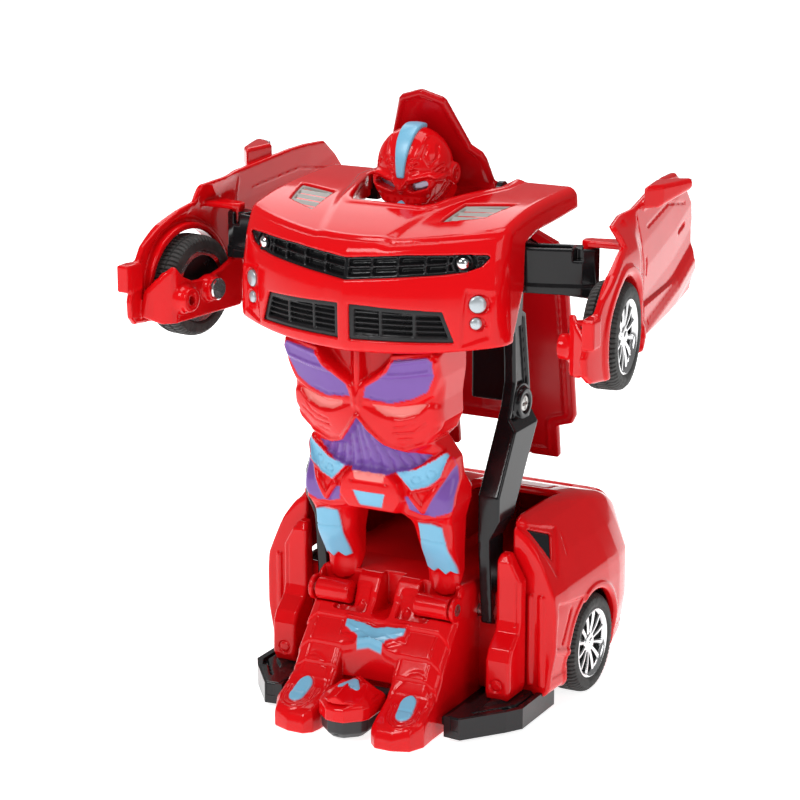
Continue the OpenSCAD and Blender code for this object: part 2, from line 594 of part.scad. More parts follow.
module at_front_wheel() in_fender() translate([0, 0, front_wheel_z]) children();
module front_rim() {
    rim();
    rotate([0, -90, 0]) translate([0, 0, tyre_w - 1.6]) cylinder(r = pin_r, h = 13.1 - tyre_w + 1.6);
    rotate([0, -90, 0]) translate([0, 0, 13.05]) cylinder(r = 2, h = 0.7);
}
module front_tyre_left() at_frame() color(black) at_front_wheel() tyre();
module front_tyre_right() at_frame() color(black) right() at_front_wheel() tyre();
module front_rim_left() at_frame() color(steel) at_front_wheel() front_rim();
module front_rim_right() at_frame() color(steel) right() at_front_wheel() front_rim();

chassis_plate();
rear_shell();
rear_deck();
quarter_windows();
tail_lights();
foot_block();
foot_emblem();
toe_pads();
side_block_left();
side_block_right();
battery_cover();
battery_cover_screw();
battery_cells();
motor();
power_switch();
rear_axle();
axle_gear();
motor_pinion();
rear_tyre_left();
rear_tyre_right();
rear_rim_left();
rear_rim_right();
trigger_block();
trigger_cap();
trigger_gem();
torso_shell();
chest_inserts();
abs_insert();
belt_panels();
shin_pads();
ankle_pins();
lift_arm_left();
lift_arm_right();
lift_shaft();
knee_screws();
chest_frame();
chest_pins();
front_shell();
main_grille();
lower_grilles();
headlights();
fog_lights();
hood_vents();
roof_panel();
windshield();
head();
head_crest();
eyes();
arm_beam_left();
arm_beam_right();
fender_left();
fender_right();
mirror_glass_left();
mirror_glass_right();
front_tyre_left();
front_tyre_right();
front_rim_left();
front_rim_right();
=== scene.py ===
import math

import bmesh
import bpy
import numpy as np
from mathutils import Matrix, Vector


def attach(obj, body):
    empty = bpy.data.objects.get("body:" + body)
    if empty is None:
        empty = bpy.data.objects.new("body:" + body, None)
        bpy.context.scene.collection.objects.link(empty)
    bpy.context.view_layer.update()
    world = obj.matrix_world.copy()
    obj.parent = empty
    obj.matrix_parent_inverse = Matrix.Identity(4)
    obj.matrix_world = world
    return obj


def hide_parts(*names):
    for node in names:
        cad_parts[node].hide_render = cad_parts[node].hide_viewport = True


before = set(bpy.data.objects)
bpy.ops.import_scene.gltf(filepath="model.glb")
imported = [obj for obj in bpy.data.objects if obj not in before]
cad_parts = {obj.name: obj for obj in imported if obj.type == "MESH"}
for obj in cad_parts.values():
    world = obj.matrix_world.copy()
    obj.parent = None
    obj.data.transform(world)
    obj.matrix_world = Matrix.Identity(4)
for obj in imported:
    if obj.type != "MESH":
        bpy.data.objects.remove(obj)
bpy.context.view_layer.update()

# Lengths below are in millimetres in the robot's own frame: x to its left, -y forward, z up,
# with y measured from the line the CAD part is centred on.
SHIFT = -2.52
GRID = 0.42
FINE = GRID * 0.72

# pivots: (y, z) for those that lie across the robot, (x, y) for the upright ones
ANKLE = (-23, 28.5)
ARM_FOOT = (-10, 25)
KNEE = (2.7, 74)
CHEST_PIN = (-23, 102.46)
ARM_HEAD = (-10, 98.96)
ROOF_HINGE = (5.5, 125)
REAR_AXLE = (11.8, 12.4)
SHOULDER = (26.5, -17)
ELBOW_PIN = (46.71, -10.9)
WHEEL_FACE = (60.2, -18.5)
FRONT_AXLE_Z = 99.2


def point(x, y, z):
    return Vector((x / 1000, (y + SHIFT) / 1000, z / 1000))


# ---- distance fields
def polygon(u, w, corners):
    """Signed distance to a polygon, negative inside."""
    pts = np.asarray(corners, np.float32)
    best = (u - pts[0][0]) ** 2 + (w - pts[0][1]) ** 2
    sign = np.ones(np.shape(u), bool)
    j = len(pts) - 1
    for i in range(len(pts)):
        ex, ey = pts[j] - pts[i]
        wx, wy = u - pts[i][0], w - pts[i][1]
        t = np.clip((wx * ex + wy * ey) / (ex * ex + ey * ey), 0, 1)
        best = np.minimum(best, (wx - ex * t) ** 2 + (wy - ey * t) ** 2)
        above, below, left = w >= pts[i][1], w < pts[j][1], ex * wy > ey * wx
        sign ^= (above & below & left) | (~above & ~below & ~left)
        j = i
    return np.where(sign, 1, -1) * np.sqrt(best)


def both(a, b, r=0.0):
    """Intersection with the edge rounded to radius r."""
    if r <= 0:
        return np.maximum(a, b)
    return np.minimum(np.maximum(a, b), -r) + np.hypot(np.maximum(a + r, 0), np.maximum(b + r, 0))


def either(a, b, r=0.0):
    """Union with the corner filled to radius r."""
    return -both(-a, -b, r)


def less(a, b, r=0.0):
    return both(a, -b, r)


def band(v, low, high):
    return np.maximum(low - v, v - high)


def disc(u, w, cu, cw, r):
    return np.hypot(u - cu, w - cw) - r


def stroke(u, w, p, q, r):
    """Distance to a line segment from p to q, thickened to r."""
    ex, ey = q[0] - p[0], q[1] - p[1]
    t = np.clip(((u - p[0]) * ex + (w - p[1]) * ey) / (ex * ex + ey * ey), 0, 1)
    return np.hypot(u - p[0] - ex * t, w - p[1] - ey * t) - r


def path(u, w, pts, r):
    d = stroke(u, w, pts[0], pts[1], r)
    for i in range(1, len(pts) - 1):
        d = np.minimum(d, stroke(u, w, pts[i], pts[i + 1], r))
    return d


def step(d, width=0.35):
    """1 well inside the region (d below 0), 0 outside, smooth between."""
    t = np.clip(0.5 - d / (2 * width), 0, 1)
    return t * t * (3 - 2 * t)


def curve(knots):
    """A smooth function through (t, value) knots."""
    t = np.array([k[0] for k in knots], float)
    v = np.array([k[1] for k in knots], float)
    slope = np.gradient(v, t)
    fine = np.linspace(t[0], t[-1], 400)
    i = np.clip(np.searchsorted(t, fine) - 1, 0, len(t) - 2)
    h = t[i + 1] - t[i]
    s = (fine - t[i]) / h
    out = (
        (2 * s**3 - 3 * s**2 + 1) * v[i]
        + (s**3 - 2 * s**2 + s) * h * slope[i]
        + (3 * s**2 - 2 * s**3) * v[i + 1]
        + (s**3 - s**2) * h * slope[i + 1]
    )
    return lambda q: np.interp(q, fine, out)


def surface(field, low, high, pitch):
    """Vertices and quads of the field's zero surface."""
    low = np.array(low, float) - pitch
    count = np.ceil((np.array(high, float) + pitch - low) / pitch).astype(int) + 1
    k = 6
    count = ((count + k - 1) // k) * k
    blocks = count // k
    centre = [low[a] + pitch * (k * np.arange(blocks[a]) + (k - 1) / 2) for a in range(3)]
    coarse = field(*np.meshgrid(*centre, indexing="ij"))
    reach = 1.15 * pitch * (k + 1) * math.sqrt(3) / 2 + 0.4
    near = abs(coarse) < reach
    value = np.repeat(np.repeat(np.repeat(coarse, k, 0), k, 1), k, 2).astype(np.float32)
    bi, bj, bk = np.nonzero(near)
    off = np.stack(np.meshgrid(*[np.arange(k)] * 3, indexing="ij"), -1).reshape(-1, 3)
    idx = (np.stack([bi, bj, bk], -1) * k)[:, None, :] + off[None]
    idx = idx.reshape(-1, 3)
    pos = low + idx * pitch
    value[idx[:, 0], idx[:, 1], idx[:, 2]] = field(pos[:, 0], pos[:, 1], pos[:, 2])
    inside = value < 0
    nx, ny, nz = value.shape
    corner = np.zeros((nx - 1, ny - 1, nz - 1), np.uint8)
    for a in (0, 1):
        for b in (0, 1):
            for c in (0, 1):
                corner += inside[a : nx - 1 + a, b : ny - 1 + b, c : nz - 1 + c]
    ci, cj, ck = np.nonzero((corner > 0) & (corner < 8))
    total = np.zeros((len(ci), 3))
    hits = np.zeros(len(ci))
    for axis in range(3):
        o1, o2 = [a for a in range(3) if a != axis]
        for p in (0, 1):
            for q in (0, 1):
                d = [0, 0, 0]
                d[o1], d[o2] = p, q
                e = list(d)
                e[axis] = 1
                va = value[ci + d[0], cj + d[1], ck + d[2]]
                vb = value[ci + e[0], cj + e[1], ck + e[2]]
                cross = (va < 0) != (vb < 0)
                t = np.where(cross, va / np.where(cross, va - vb, 1), 0)
                add = np.zeros((len(ci), 3))
                add[:, o1], add[:, o2], add[:, axis] = p, q, t
                total += add * cross[:, None]
                hits += cross
    verts = low + (np.stack([ci, cj, ck], -1) + total / hits[:, None]) * pitch
    number = -np.ones(corner.shape, np.int64)
    number[ci, cj, ck] = np.arange(len(ci))
    quads = []
    for axis in range(3):
        o1, o2 = [(1, 2), (2, 0), (0, 1)][axis]
        sl = [slice(1, -1)] * 3
        sl[axis] = slice(0, -1)
        a = inside[tuple(sl)]
        sl2 = list(sl)
        sl2[axis] = slice(1, None)
        b = inside[tuple(sl2)]
        gi, gj, gk = np.nonzero(a != b)
        g = np.stack([gi, gj, gk], -1)
        g[:, o1] += 1
        g[:, o2] += 1
        flip = a[gi, gj, gk]
        quad = []
        for p, q in ((-1, -1), (0, -1), (0, 0), (-1, 0)):
            h = g.copy()
            h[:, o1] += p
            h[:, o2] += q
            quad.append(number[h[:, 0], h[:, 1], h[:, 2]])
        quad = np.stack(quad, -1)
        quad[~flip] = quad[~flip][:, ::-1]
        quads.append(quad)
    quads = np.concatenate(quads)
    quads = quads[(quads >= 0).all(1)]
    start = verts.copy()
    tiny = 0.04
    for _ in range(3):
        f0 = field(*verts.T)
        rise = [field(*(verts + shift).T) - field(*(verts - shift).T) for shift in np.eye(3) * tiny]
        grad = np.stack(rise, -1) / (2 * tiny)
        move = -f0[:, None] * grad / np.maximum((grad**2).sum(1), 0.3)[:, None]
        verts = start + np.clip(verts + move - start, -0.55 * pitch, 0.55 * pitch)
    return verts, quads


def mesh_piece(name, verts, faces, body, material, paint=None):
    """A mesh object from millimetre vertices, riding on a body."""
    verts = np.asarray(verts, float)
    mesh = bpy.data.meshes.new(name)
    out = (verts + np.array([0, SHIFT, 0])) / 1000
    mesh.vertices.add(len(out))
    mesh.vertices.foreach_set("co", out.astype(np.float32).ravel())
    corners = faces.ravel() if isinstance(faces, np.ndarray) else np.concatenate(faces)
    sizes = np.array([len(f) for f in faces])
    mesh.loops.add(len(corners))
    mesh.loops.foreach_set("vertex_index", corners.astype(np.int32))
    mesh.polygons.add(len(faces))
    mesh.polygons.foreach_set("loop_start", np.concatenate([[0], np.cumsum(sizes)[:-1]]).astype(np.int32))
    mesh.polygons.foreach_set("use_smooth", np.ones(len(faces), bool))
    mesh.update(calc_edges=True)
    mesh.validate()
    if paint is not None:
        layer = mesh.color_attributes.new("paint", "FLOAT_COLOR", "POINT")
        colour = np.ones((len(out), 4), np.float32)
        colour[:, :3] = paint(verts)
        layer.data.foreach_set("color", colour.ravel())
    obj = bpy.data.objects.new(name, mesh)
    bpy.context.scene.collection.objects.link(obj)
    obj.data.materials.append(material)
    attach(obj, body)
    return obj


def field_piece(name, field, low, high, body, material, replaces=(), pitch=None, paint=None):
    verts, quads = surface(field, low, high, pitch or GRID)
    obj = mesh_piece(name, verts, quads, body, material, paint)
    if replaces:
        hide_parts(*replaces)
    return obj


def mirrored_piece(obj, name, body, replaces=()):
    """The right-hand twin of a left-hand piece."""
    mesh = obj.data.copy()
    co = np.zeros(len(mesh.vertices) * 3, np.float32)
    mesh.vertices.foreach_get("co", co)
    co[::3] *= -1
    mesh.vertices.foreach_set("co", co)
    mesh.flip_normals()
    mesh.update()
    twin = bpy.data.objects.new(name, mesh)
    bpy.context.scene.collection.objects.link(twin)
    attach(twin, body)
    if replaces:
        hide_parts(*replaces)


# ---- materials
def feed(tree, node, inputs):
    """Sets the node's sockets: a socket is linked, anything else is the socket's constant."""
    for key, value in inputs.items():
        if isinstance(value, bpy.types.NodeSocket):
            tree.links.new(value, node.inputs[key])
        else:
            node.inputs[key].default_value = value
    return node


def add(tree, kind, inputs, **settings):
    node = tree.nodes.new("ShaderNode" + kind)
    for key, value in settings.items():
        setattr(node, key, value)
    return feed(tree, node, inputs)


def nodes_of(name):
    mat = bpy.data.materials.new(name)
    mat.use_nodes = True
    tree = mat.node_tree
    return mat, tree, tree.nodes["Principled BSDF"]


def noise(tree, scale, detail=3.0, rough=0.55):
    inputs = {"Scale": scale, "Detail": detail, "Roughness": rough}
    inputs["Vector"] = add(tree, "TexCoord", {}).outputs["Object"]
    return add(tree, "TexNoise", inputs).outputs["Fac"]


def spread(tree, value, low, high):
    """Stretches a noise to the range low to high."""
    ends = {"From Min": 0.3, "From Max": 0.7, "To Min": low, "To Max": high}
    return add(tree, "MapRange", {**ends, "Value": value}).outputs["Result"]


def mixed(tree, factor, a, b, blend="MIX"):
    inputs = {"Factor": factor, "A": a, "B": b}
    return add(tree, "Mix", inputs, data_type="RGBA", blend_type=blend).outputs["Result"]


def bumps(tree, scale, detail, strength, distance):
    """A fine surface grain; distance is its depth in metres."""
    inputs = {"Strength": strength, "Distance": distance, "Height": noise(tree, scale, detail)}
    return add(tree, "Bump", inputs).outputs["Normal"]


def plastic(name, colour, rough=0.16, coat=0.0, grain=0.00002, vary=0.06, grain_scale=900, metallic=0.0,
            painted=False, edge=0.25, specular=0.5):
    """Moulded plastic: mottled colour, smudged gloss, fine moulding grain, paler worn edges."""
    mat, tree, bsdf = nodes_of(name)
    base = add(tree, "VertexColor", {}, layer_name="paint").outputs["Color"] if painted else (*colour, 1)
    tone = spread(tree, noise(tree, 70), 1 - vary, 1 + vary)
    shade = add(tree, "CombineColor", {"Red": tone, "Green": tone, "Blue": tone}).outputs["Color"]
    ridge = add(tree, "NewGeometry", {}).outputs["Pointiness"]
    worn = add(tree, "MapRange", {"From Min": 0.54, "From Max": 0.7, "To Max": edge, "Value": ridge})
    pale = (*[min(1.0, c * 0.6 + 0.08) for c in colour], 1)
    mottled = mixed(tree, 1.0, base, shade, "MULTIPLY")
    feed(tree, bsdf, {
        "Base Color": mixed(tree, worn.outputs["Result"], mottled, pale, "SCREEN"),
        "Roughness": spread(tree, noise(tree, 160, 5, 0.7), rough * 0.8, rough * 1.35),
        "Normal": bumps(tree, grain_scale, 2, 0.25, grain),
        "Coat Weight": coat,
        "Coat Roughness": 0.06,
        "Metallic": metallic,
        "Specular IOR Level": specular,
    })
    return mat


def metal(name, colour, rough, brushed=0.0):
    mat, tree, bsdf = nodes_of(name)
    dull = (*[c * 0.78 for c in colour], 1)
    feed(tree, bsdf, {
        "Metallic": 1.0,
        "Base Color": mixed(tree, spread(tree, noise(tree, 240, 4), 0, 1), (*colour, 1), dull),
        "Roughness": spread(tree, noise(tree, 500, 5, 0.75), rough * 0.7, rough * 1.5),
        "Normal": bumps(tree, 1500, 2, 0.3, 0.00001 + brushed),
    })
    return mat


def rubber_material():
    mat, tree, bsdf = nodes_of("tyre_rubber")
    dust = spread(tree, noise(tree, 300, 6, 0.7), 0, 1)
    feed(tree, bsdf, {
        "Base Color": mixed(tree, dust, (0.014, 0.014, 0.014, 1), (0.04, 0.039, 0.037, 1)),
        "Roughness": spread(tree, noise(tree, 700, 4), 0.55, 0.8),
        "Normal": bumps(tree, 1800, 3, 0.6, 0.00008),
    })
    return mat


RED = (0.66, 0.0025, 0.005)
SKY = (0.18, 0.45, 0.64)
VIOLET = (0.17, 0.08, 0.33)
# the pale salmon red below is a painted highlight, laid where the red plastic catches the light
HIGHLIGHT_PINK = (0.78, 0.20, 0.18)
COARSE = {"grain": 0.00006, "grain_scale": 1400, "edge": 0.12, "specular": 0.3}
red = plastic("gloss_red", RED, rough=0.11, coat=0.12, edge=0.05, specular=0.2, vary=0.04)
# a darker copy of the gloss red: painted shade for the roof panel, which hangs behind the torso in shadow
shaded_red = plastic("dark_red", (0.46, 0.002, 0.005), rough=0.16, coat=0.08, edge=0.05, specular=0.2)
red_paint = plastic("red_with_paint", RED, rough=0.14, coat=0.1, painted=True, edge=0.05, specular=0.22)
black = plastic("black_plastic", (0.012, 0.012, 0.013), rough=0.3, **COARSE)
gloss_black = plastic("gloss_black", (0.008, 0.008, 0.009), rough=0.16, coat=0.05, edge=0.1, specular=0.3)
charcoal = plastic("charcoal_plastic", (0.03, 0.03, 0.032), rough=0.34, **COARSE)
sky = plastic("sky_blue_paint", SKY, rough=0.28, edge=0.1)
violet = plastic("violet_paint", VIOLET, rough=0.3, coat=0.1)
grey = plastic("grey_paint", (0.30, 0.29, 0.27), rough=0.36)
silver = plastic("silver_paint", (0.42, 0.47, 0.50), rough=0.3, metallic=0.5, coat=0.3)
cream = plastic("cream_nylon", (0.7, 0.68, 0.58), rough=0.4)
smoke = plastic("smoked_glass", (0.006, 0.006, 0.008), rough=0.09, coat=0.1, grain=0.000004, edge=0.05,
                specular=0.25)
lens = plastic("red_lens", (0.25, 0.002, 0.004), rough=0.08, coat=1.0)
eye_lens = plastic("eye_lens", (0.32, 0.30, 0.42), rough=0.12, coat=1.0, metallic=0.4)
chrome = metal("chrome", (0.86, 0.86, 0.87), 0.13)
steel = metal("steel", (0.55, 0.54, 0.52), 0.28, 0.00001)
brass = metal("brass", (0.75, 0.55, 0.25), 0.25)
rubber = rubber_material()

# the CAD nodes: a material each and a small bevel
for mat, nodes in (
    (red, "rear_shell rear_deck foot_block side_block_left side_block_right trigger_cap torso_shell "
          "front_shell head fender_left fender_right"),
    # the roof panel in the darker red: painted shade
    (shaded_red, "roof_panel"),
    (gloss_black, "chassis_plate lift_arm_left lift_arm_right chest_frame main_grille lower_grilles "
                  "arm_beam_left arm_beam_right"),
    (black, "battery_cover power_switch"),
    (charcoal, "trigger_block"),
    (sky, "foot_emblem toe_pads trigger_gem belt_panels shin_pads head_crest"),
    (violet, "chest_inserts abs_insert eyes"),
    (grey, "hood_vents"),
    (silver, "fog_lights mirror_glass_left mirror_glass_right"),
    (cream, "axle_gear"),
    (smoke, "quarter_windows windshield"),
    (lens, "tail_lights"),
    (chrome, "headlights rear_rim_left rear_rim_right front_rim_left front_rim_right"),
    (steel, "battery_cover_screw battery_cells motor rear_axle ankle_pins lift_shaft knee_screws chest_pins"),
    (brass, "motor_pinion"),
    (rubber, "rear_tyre_left rear_tyre_right front_tyre_left front_tyre_right"),
):
    for node in nodes.split():
        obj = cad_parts[node]
        obj.data.materials.clear()
        obj.data.materials.append(mat)
        bevel = obj.modifiers.new("edge", "BEVEL")
        bevel.width = 0.0003
        bevel.segments = 2
        bevel.limit_method = "ANGLE"
        bevel.angle_limit = math.radians(40)
        bevel.use_clamp_overlap = True
        bevel.harden_normals = False

# ---- bonnet and bumper
# Outlines here and below are half outlines where the shape is the same on both sides: x is taken as positive.
BOW = 0.0103  # how strongly the nose bows back towards its ends
hood_height = curve([(-50, 112), (-45, 115.2), (-42, 117.6), (-38, 119.6), (-30.5, 122.2), (-19, 124.7),
                     (-8, 125.7), (0, 126), (12, 126.2)])
bumper_lean = curve([(90, 4), (93, 2.2), (95, 0.8), (97.5, 0.15), (100, 0), (106, 0), (110, 0.5), (113, 1.2),
                     (117, 2), (120, 3.4), (124, 6)])
bumper_half = curve([(90, 35), (98, 35.1), (104, 34.9), (111, 34.6), (118, 34.2), (128, 33.7)])
NOTCH = [(-8.8, -21), (8.8, -21), (10.8, -19), (17.6, 2), (17.9, 20), (-17.9, 20), (-17.6, 2), (-10.8, -19)]
SIDE_CUT = [(-60, 80), (-26.6, 80), (-26.4, 98), (-20.4, 108), (-18.6, 118.1), (-12, 119.8), (0, 120.4),
            (11, 121.2), (10.6, 140), (-60, 140)]
CORNER = [(26.2, 96.6), (31.6, 98.6), (32.6, 108.8), (27.2, 109.6)]
VENT = [(17.3, -15.1), (16.7, -27.2), (25.5, -22.3), (28.4, -11)]
UPPER = [(0, 110.8), (15, 112.3), (21.6, 112.9), (26.6, 113.6), (29.6, 114.8), (31.2, 116.8), (30.8, 117.4),
         (25.6, 117.5), (14.5, 117.2), (0, 115.9), (-0.1, 110.8)]
LOWER = [(1.4, 97.2), (24.9, 97.5), (22.5, 104.7), (1.4, 105.5)]


def hood_parts(x, y, z):
    ax = abs(x)
    q = y - BOW * ax * ax
    bulge = 0.55 * step(ax - np.interp(y, [-42, -20, 10], [7.5, 13.5, 18.5]), 1.6)
    top = (z - hood_height(y - 0.0015 * ax * ax) - bulge) * 0.96
    keel = 0.5 * np.clip(1 - ax / 5, 0, 1)
    front = (-43.1 - keel + bumper_lean(z) - q) * 0.9
    side = ax - bumper_half(z)
    return ax, q, top, front, side


def front_shell(x, y, z):
    ax, q, top, front, side = hood_parts(x, y, z)
    seam = step(abs(q + 38.9) - 0.2, 0.34) * step(ax - 33, 0.5) * 0.6
    lip = step(abs(q + 38.1) - 0.35, 0.4) * step(ax - 33, 0.5) * 0.3
    notch = polygon(x, y, NOTCH)
    rim = step(abs(notch - 1.3) - 1.0, 0.7) * 0.35
    corner = step(polygon(ax, z, CORNER), 0.4) * 0.45
    outer = both(both(top + seam - rim - lip, front + corner, 1.3), side, 2.4)
    outer = both(outer, 94 + 0.002 * ax * ax - z, 0.8)
    wall = 1.8
    inner = both(both(top + wall, front + wall, 0.6), side + wall, 1.0)
    shell = less(outer, inner)
    shell = either(shell, both(both(less(notch - 1.3, notch), band(z, 119.9, 130)), top))
    shell = both(shell, polygon(y, z, SIDE_CUT), 0.35)
    shell = less(shell, both(notch, 118 - z), 0.45)
    shell = less(shell, both(polygon(ax, y, VENT), -1.1 - top), 0.25)
    upper = polygon(ax, z, UPPER)
    shell = less(shell, both(upper, y + 26), 0.35)
    lower = polygon(ax, z, LOWER)
    shell = less(shell, both(lower, y + 26), 0.35)
    for cx, cz, r in ((29.7, 106.4, 2.1), (29.4, 102.0, 1.5)):
        shell = less(shell, both(disc(ax, z, cx, cz, r), -1.0 - front), 0.2)
    return shell


field_piece("bonnet_and_bumper", front_shell, (-36, -45, 91), (36, 12.5, 129), "chest", red, ["front_shell"])


def front_panel(region, height, depth=2.6):
    """A black insert behind the bumper's skin: a relief of the given height inside a region."""

    def field(x, y, z):
        ax, _, _, front, _ = hood_parts(x, y, z)
        return both(region(ax, z), both(front - height(ax, z), -(front + depth)), 0.15)

    return field


def bars(v, places, width):
    d = np.full(np.shape(v), 99.0)
    for p in places:
        d = np.minimum(d, abs(v - p) - width / 2)
    return d


def upper_height(ax, z):
    middle = np.interp(ax, [0, 15, 25.6, 31], [113.5, 114.8, 115.6, 116.4])
    rim = -(polygon(ax, z, UPPER) + 0.75)
    lines = np.minimum(bars(ax, (0, 6, 12, 18, 22.6), 0.8), abs(z - middle) - 0.35)
    lamp = disc(ax, z, 26.1, 115.5, 2.5)
    raised = np.maximum(step(np.minimum(lines, rim), 0.3), step(abs(lamp) - 0.35, 0.25))
    hollow = step(lamp, 0.3)
    return -2.1 + 1.35 * np.maximum(raised * (1 - hollow), step(abs(lamp) - 0.3, 0.25))


def lower_height(ax, z):
    rim = -(polygon(ax, z, LOWER) + 1.2)
    slats = bars(z, [98.6 + 1.25 * i for i in range(6)], 0.62)
    posts = bars(ax, (8.6, 16.2), 0.9)
    return -2.1 + np.maximum(1.45 * step(rim, 0.25),
                             np.maximum(1.0 * step(slats, 0.22), 1.2 * step(posts, 0.25)))


field_piece("upper_grille_panel", front_panel(lambda a, z: polygon(a, z, UPPER) - 0.35, upper_height),
            (-32.5, -44, 109.5), (32.5, -29, 119), "chest", gloss_black, ["main_grille"], FINE)
field_piece("lower_grille_panels", front_panel(lambda a, z: polygon(a, z, LOWER) - 0.35, lower_height),
            (-26, -44, 96), (26, -33, 107), "chest", black, ["lower_grilles"], FINE)


def louvres(x, y, z):
    ax, _, top, _, _ = hood_parts(x, y, z)
    run = (y - 0.2 * ax) / 3.1
    saw = run - np.floor(run)
    lift = 0.9 * np.minimum(saw, (1 - saw) * 3)
    frame_line = -(polygon(ax, y, VENT) + 0.7)
    height = -1.35 + np.maximum(lift, 0.75 * step(frame_line, 0.25))
    return both(polygon(ax, y, VENT) - 0.2, both(top - height, -(top + 2.3)), 0.1)


field_piece("bonnet_vent_louvres", louvres, (-30, -29, 117), (30, -9, 127.5), "chest", grey, ["hood_vents"],
            FINE)


def lathe(profile, origin=(0, 0, 0), axis=(1, 0, 0), sides=40):
    """Vertices and faces of a turned shape; profile is (distance along axis, radius)."""
    axis = Vector(axis).normalized()
    side = axis.orthogonal().normalized()
    other = axis.cross(side)
    verts, faces = [], []
    for along, radius in profile:
        for i in range(sides):
            a = 2 * math.pi * i / sides
            p = Vector(origin) + axis * along + side * (radius * math.cos(a)) + other * (radius * math.sin(a))
            verts.append(tuple(p))
    for k in range(len(profile) - 1):
        for i in range(sides):
            j = (i + 1) % sides
            faces.append([k * sides + i, k * sides + j, (k + 1) * sides + j, (k + 1) * sides + i])
    faces.append([i for i in reversed(range(sides))])
    faces.append([(len(profile) - 1) * sides + i for i in range(sides)])
    return verts, faces


def join(*parts):
    verts, faces = [], []
    for v, f in parts:
        base = len(verts)
        verts += [tuple(p) for p in v]
        faces += [[base + i for i in face] for face in f]
    return verts, faces


def turned(name, parts, body, material, replaces=(), angle=35):
    """One object from lathed parts, sharp where its profile turns sharply."""
    verts, faces = join(*parts)
    obj = mesh_piece(name, verts, faces, body, material)
    if replaces:
        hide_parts(*replaces)
    mesh = obj.data
    bm = bmesh.new()
    bm.from_mesh(mesh)
    bmesh.ops.recalc_face_normals(bm, faces=bm.faces)
    for edge in bm.edges:
        if len(edge.link_faces) == 2 and edge.calc_face_angle(0) > math.radians(angle):
            edge.smooth = False
    bm.to_mesh(mesh)
    bm.free()
    return obj


def nose_y(x, z):
    return -43.1 + float(bumper_lean(z)) + BOW * x * x


def nose_out(x):
    return Vector((2 * BOW * x, -1, 0)).normalized()


def dome(r, rise, deep):
    return [(-deep, r), (0, r), (rise * 0.45, r * 0.9), (rise * 0.8, r * 0.62), (rise, r * 0.25), (rise, 0.01)]


lamps, balls, fogs = [], [], []
for s in (-1, 1):
    out = nose_out(26.1 * s)
    base = Vector((26.1 * s, nose_y(26.1, 115.5), 115.5))
    balls.append(lathe([(-1.6, 0.3), (-1.35, 0.95), (-0.9, 1.32), (-0.3, 1.32), (0.1, 1.0), (0.3, 0.5),
                        (0.33, 0.01)], base, out, 24))
    lamps.append(lathe([(-1.9, 2.3), (-1.2, 2.3), (-1.0, 1.95), (-1.5, 1.5), (-1.5, 0.01)], base, out, 32))
    for cx, cz, r in ((29.7, 106.4, 1.95), (29.4, 102.0, 1.35)):
        out = Vector((0.62 * s, -1, 0)).normalized()
        fogs.append(lathe(dome(r, 0.5, 1.3), Vector((cx * s, nose_y(cx, cz) - 0.05, cz)) - out * 0.35, out, 28))
turned("headlight_balls", balls, "chest", chrome, ["headlights"])
turned("headlight_bowls", lamps, "chest", gloss_black)
turned("fog_lamp_domes", fogs, "chest", silver, ["fog_lights"])

# ---- torso and legs
# y of the skin on the middle line, and how fast it falls back to the sides, both by height
torso_mid = curve([(22, -21.5), (30, -19.4), (36, -19.6), (44, -24), (50, -26.2), (53, -28), (57, -29.4),
                   (62, -29.4), (67.6, -31.6), (72, -34), (77, -35.8), (84, -36.2), (92, -36.4), (101, -36)])
torso_bend = curve([(22, 0), (50, 0.0), (57, 0.007), (62, 0.013), (67.6, 0.018), (72, 0.0155), (77, 0.0125),
                    (84, 0.011), (92, 0.008), (101, 0.008)])
# regions of the front, in x and z
BODY = [(-3, 50.4), (4, 50.4), (6, 51.4), (7.6, 49.5), (8.6, 44), (8.9, 36), (8.9, 25), (17.9, 25), (18.1, 42),
        (18.5, 50), (19.9, 55), (20.2, 61), (19.4, 66.5), (17.2, 69.3), (15.8, 71.2), (18, 73.4), (19.5, 77),
        (19.4, 82), (20.2, 88), (20.2, 98.4), (-3, 98.4)]
PEC = [(1.5, 81.8), (8.5, 81.0), (13.5, 82.4), (17.2, 84.4), (19.2, 88.6), (19.6, 92.4), (18.4, 93.6),
       (10.4, 92.4), (8.6, 89.4), (5.8, 87), (2.4, 84.9)]
PLATE = [(9.2, 91.7), (18.8, 93.6), (20, 92), (18.9, 89.2), (12.4, 88), (6.6, 87.4)]
CRESCENT = [(3.9, 80.6), (10, 80.4), (16.6, 81.4), (14.6, 79), (11, 77.7), (7, 77.9), (4.6, 79.2)]
RIB = [(0.6, 80.2), (0.8, 77.4), (3, 74), (6, 70.8), (10, 69.6), (15, 71.4), (18.8, 75.6), (19.6, 80),
       (17, 80.6), (14, 78), (9, 76.6), (4.6, 78)]
RIM = [(0, 77.2), (3, 73.2), (6, 69.8), (10, 68.8), (15.2, 71), (18.6, 74.8)]
ABS = [(-2, 77), (0, 77.2), (2.6, 73.6), (5.6, 70.2), (9.6, 68.4), (15.2, 67.6), (12.6, 65), (9.6, 63.3),
       (5, 62), (-2, 61.6)]
BELT = [(6.9, 62.8), (10.5, 58.9), (14.4, 60), (17.2, 62.4), (18.2, 66), (18.9, 69), (16.4, 66.8), (11.6, 63.9)]
BUCKLE = [(-2, 52.2), (6.3, 52.2), (8.5, 56), (7.5, 60.2), (4.6, 62.6), (-2, 62.6)]
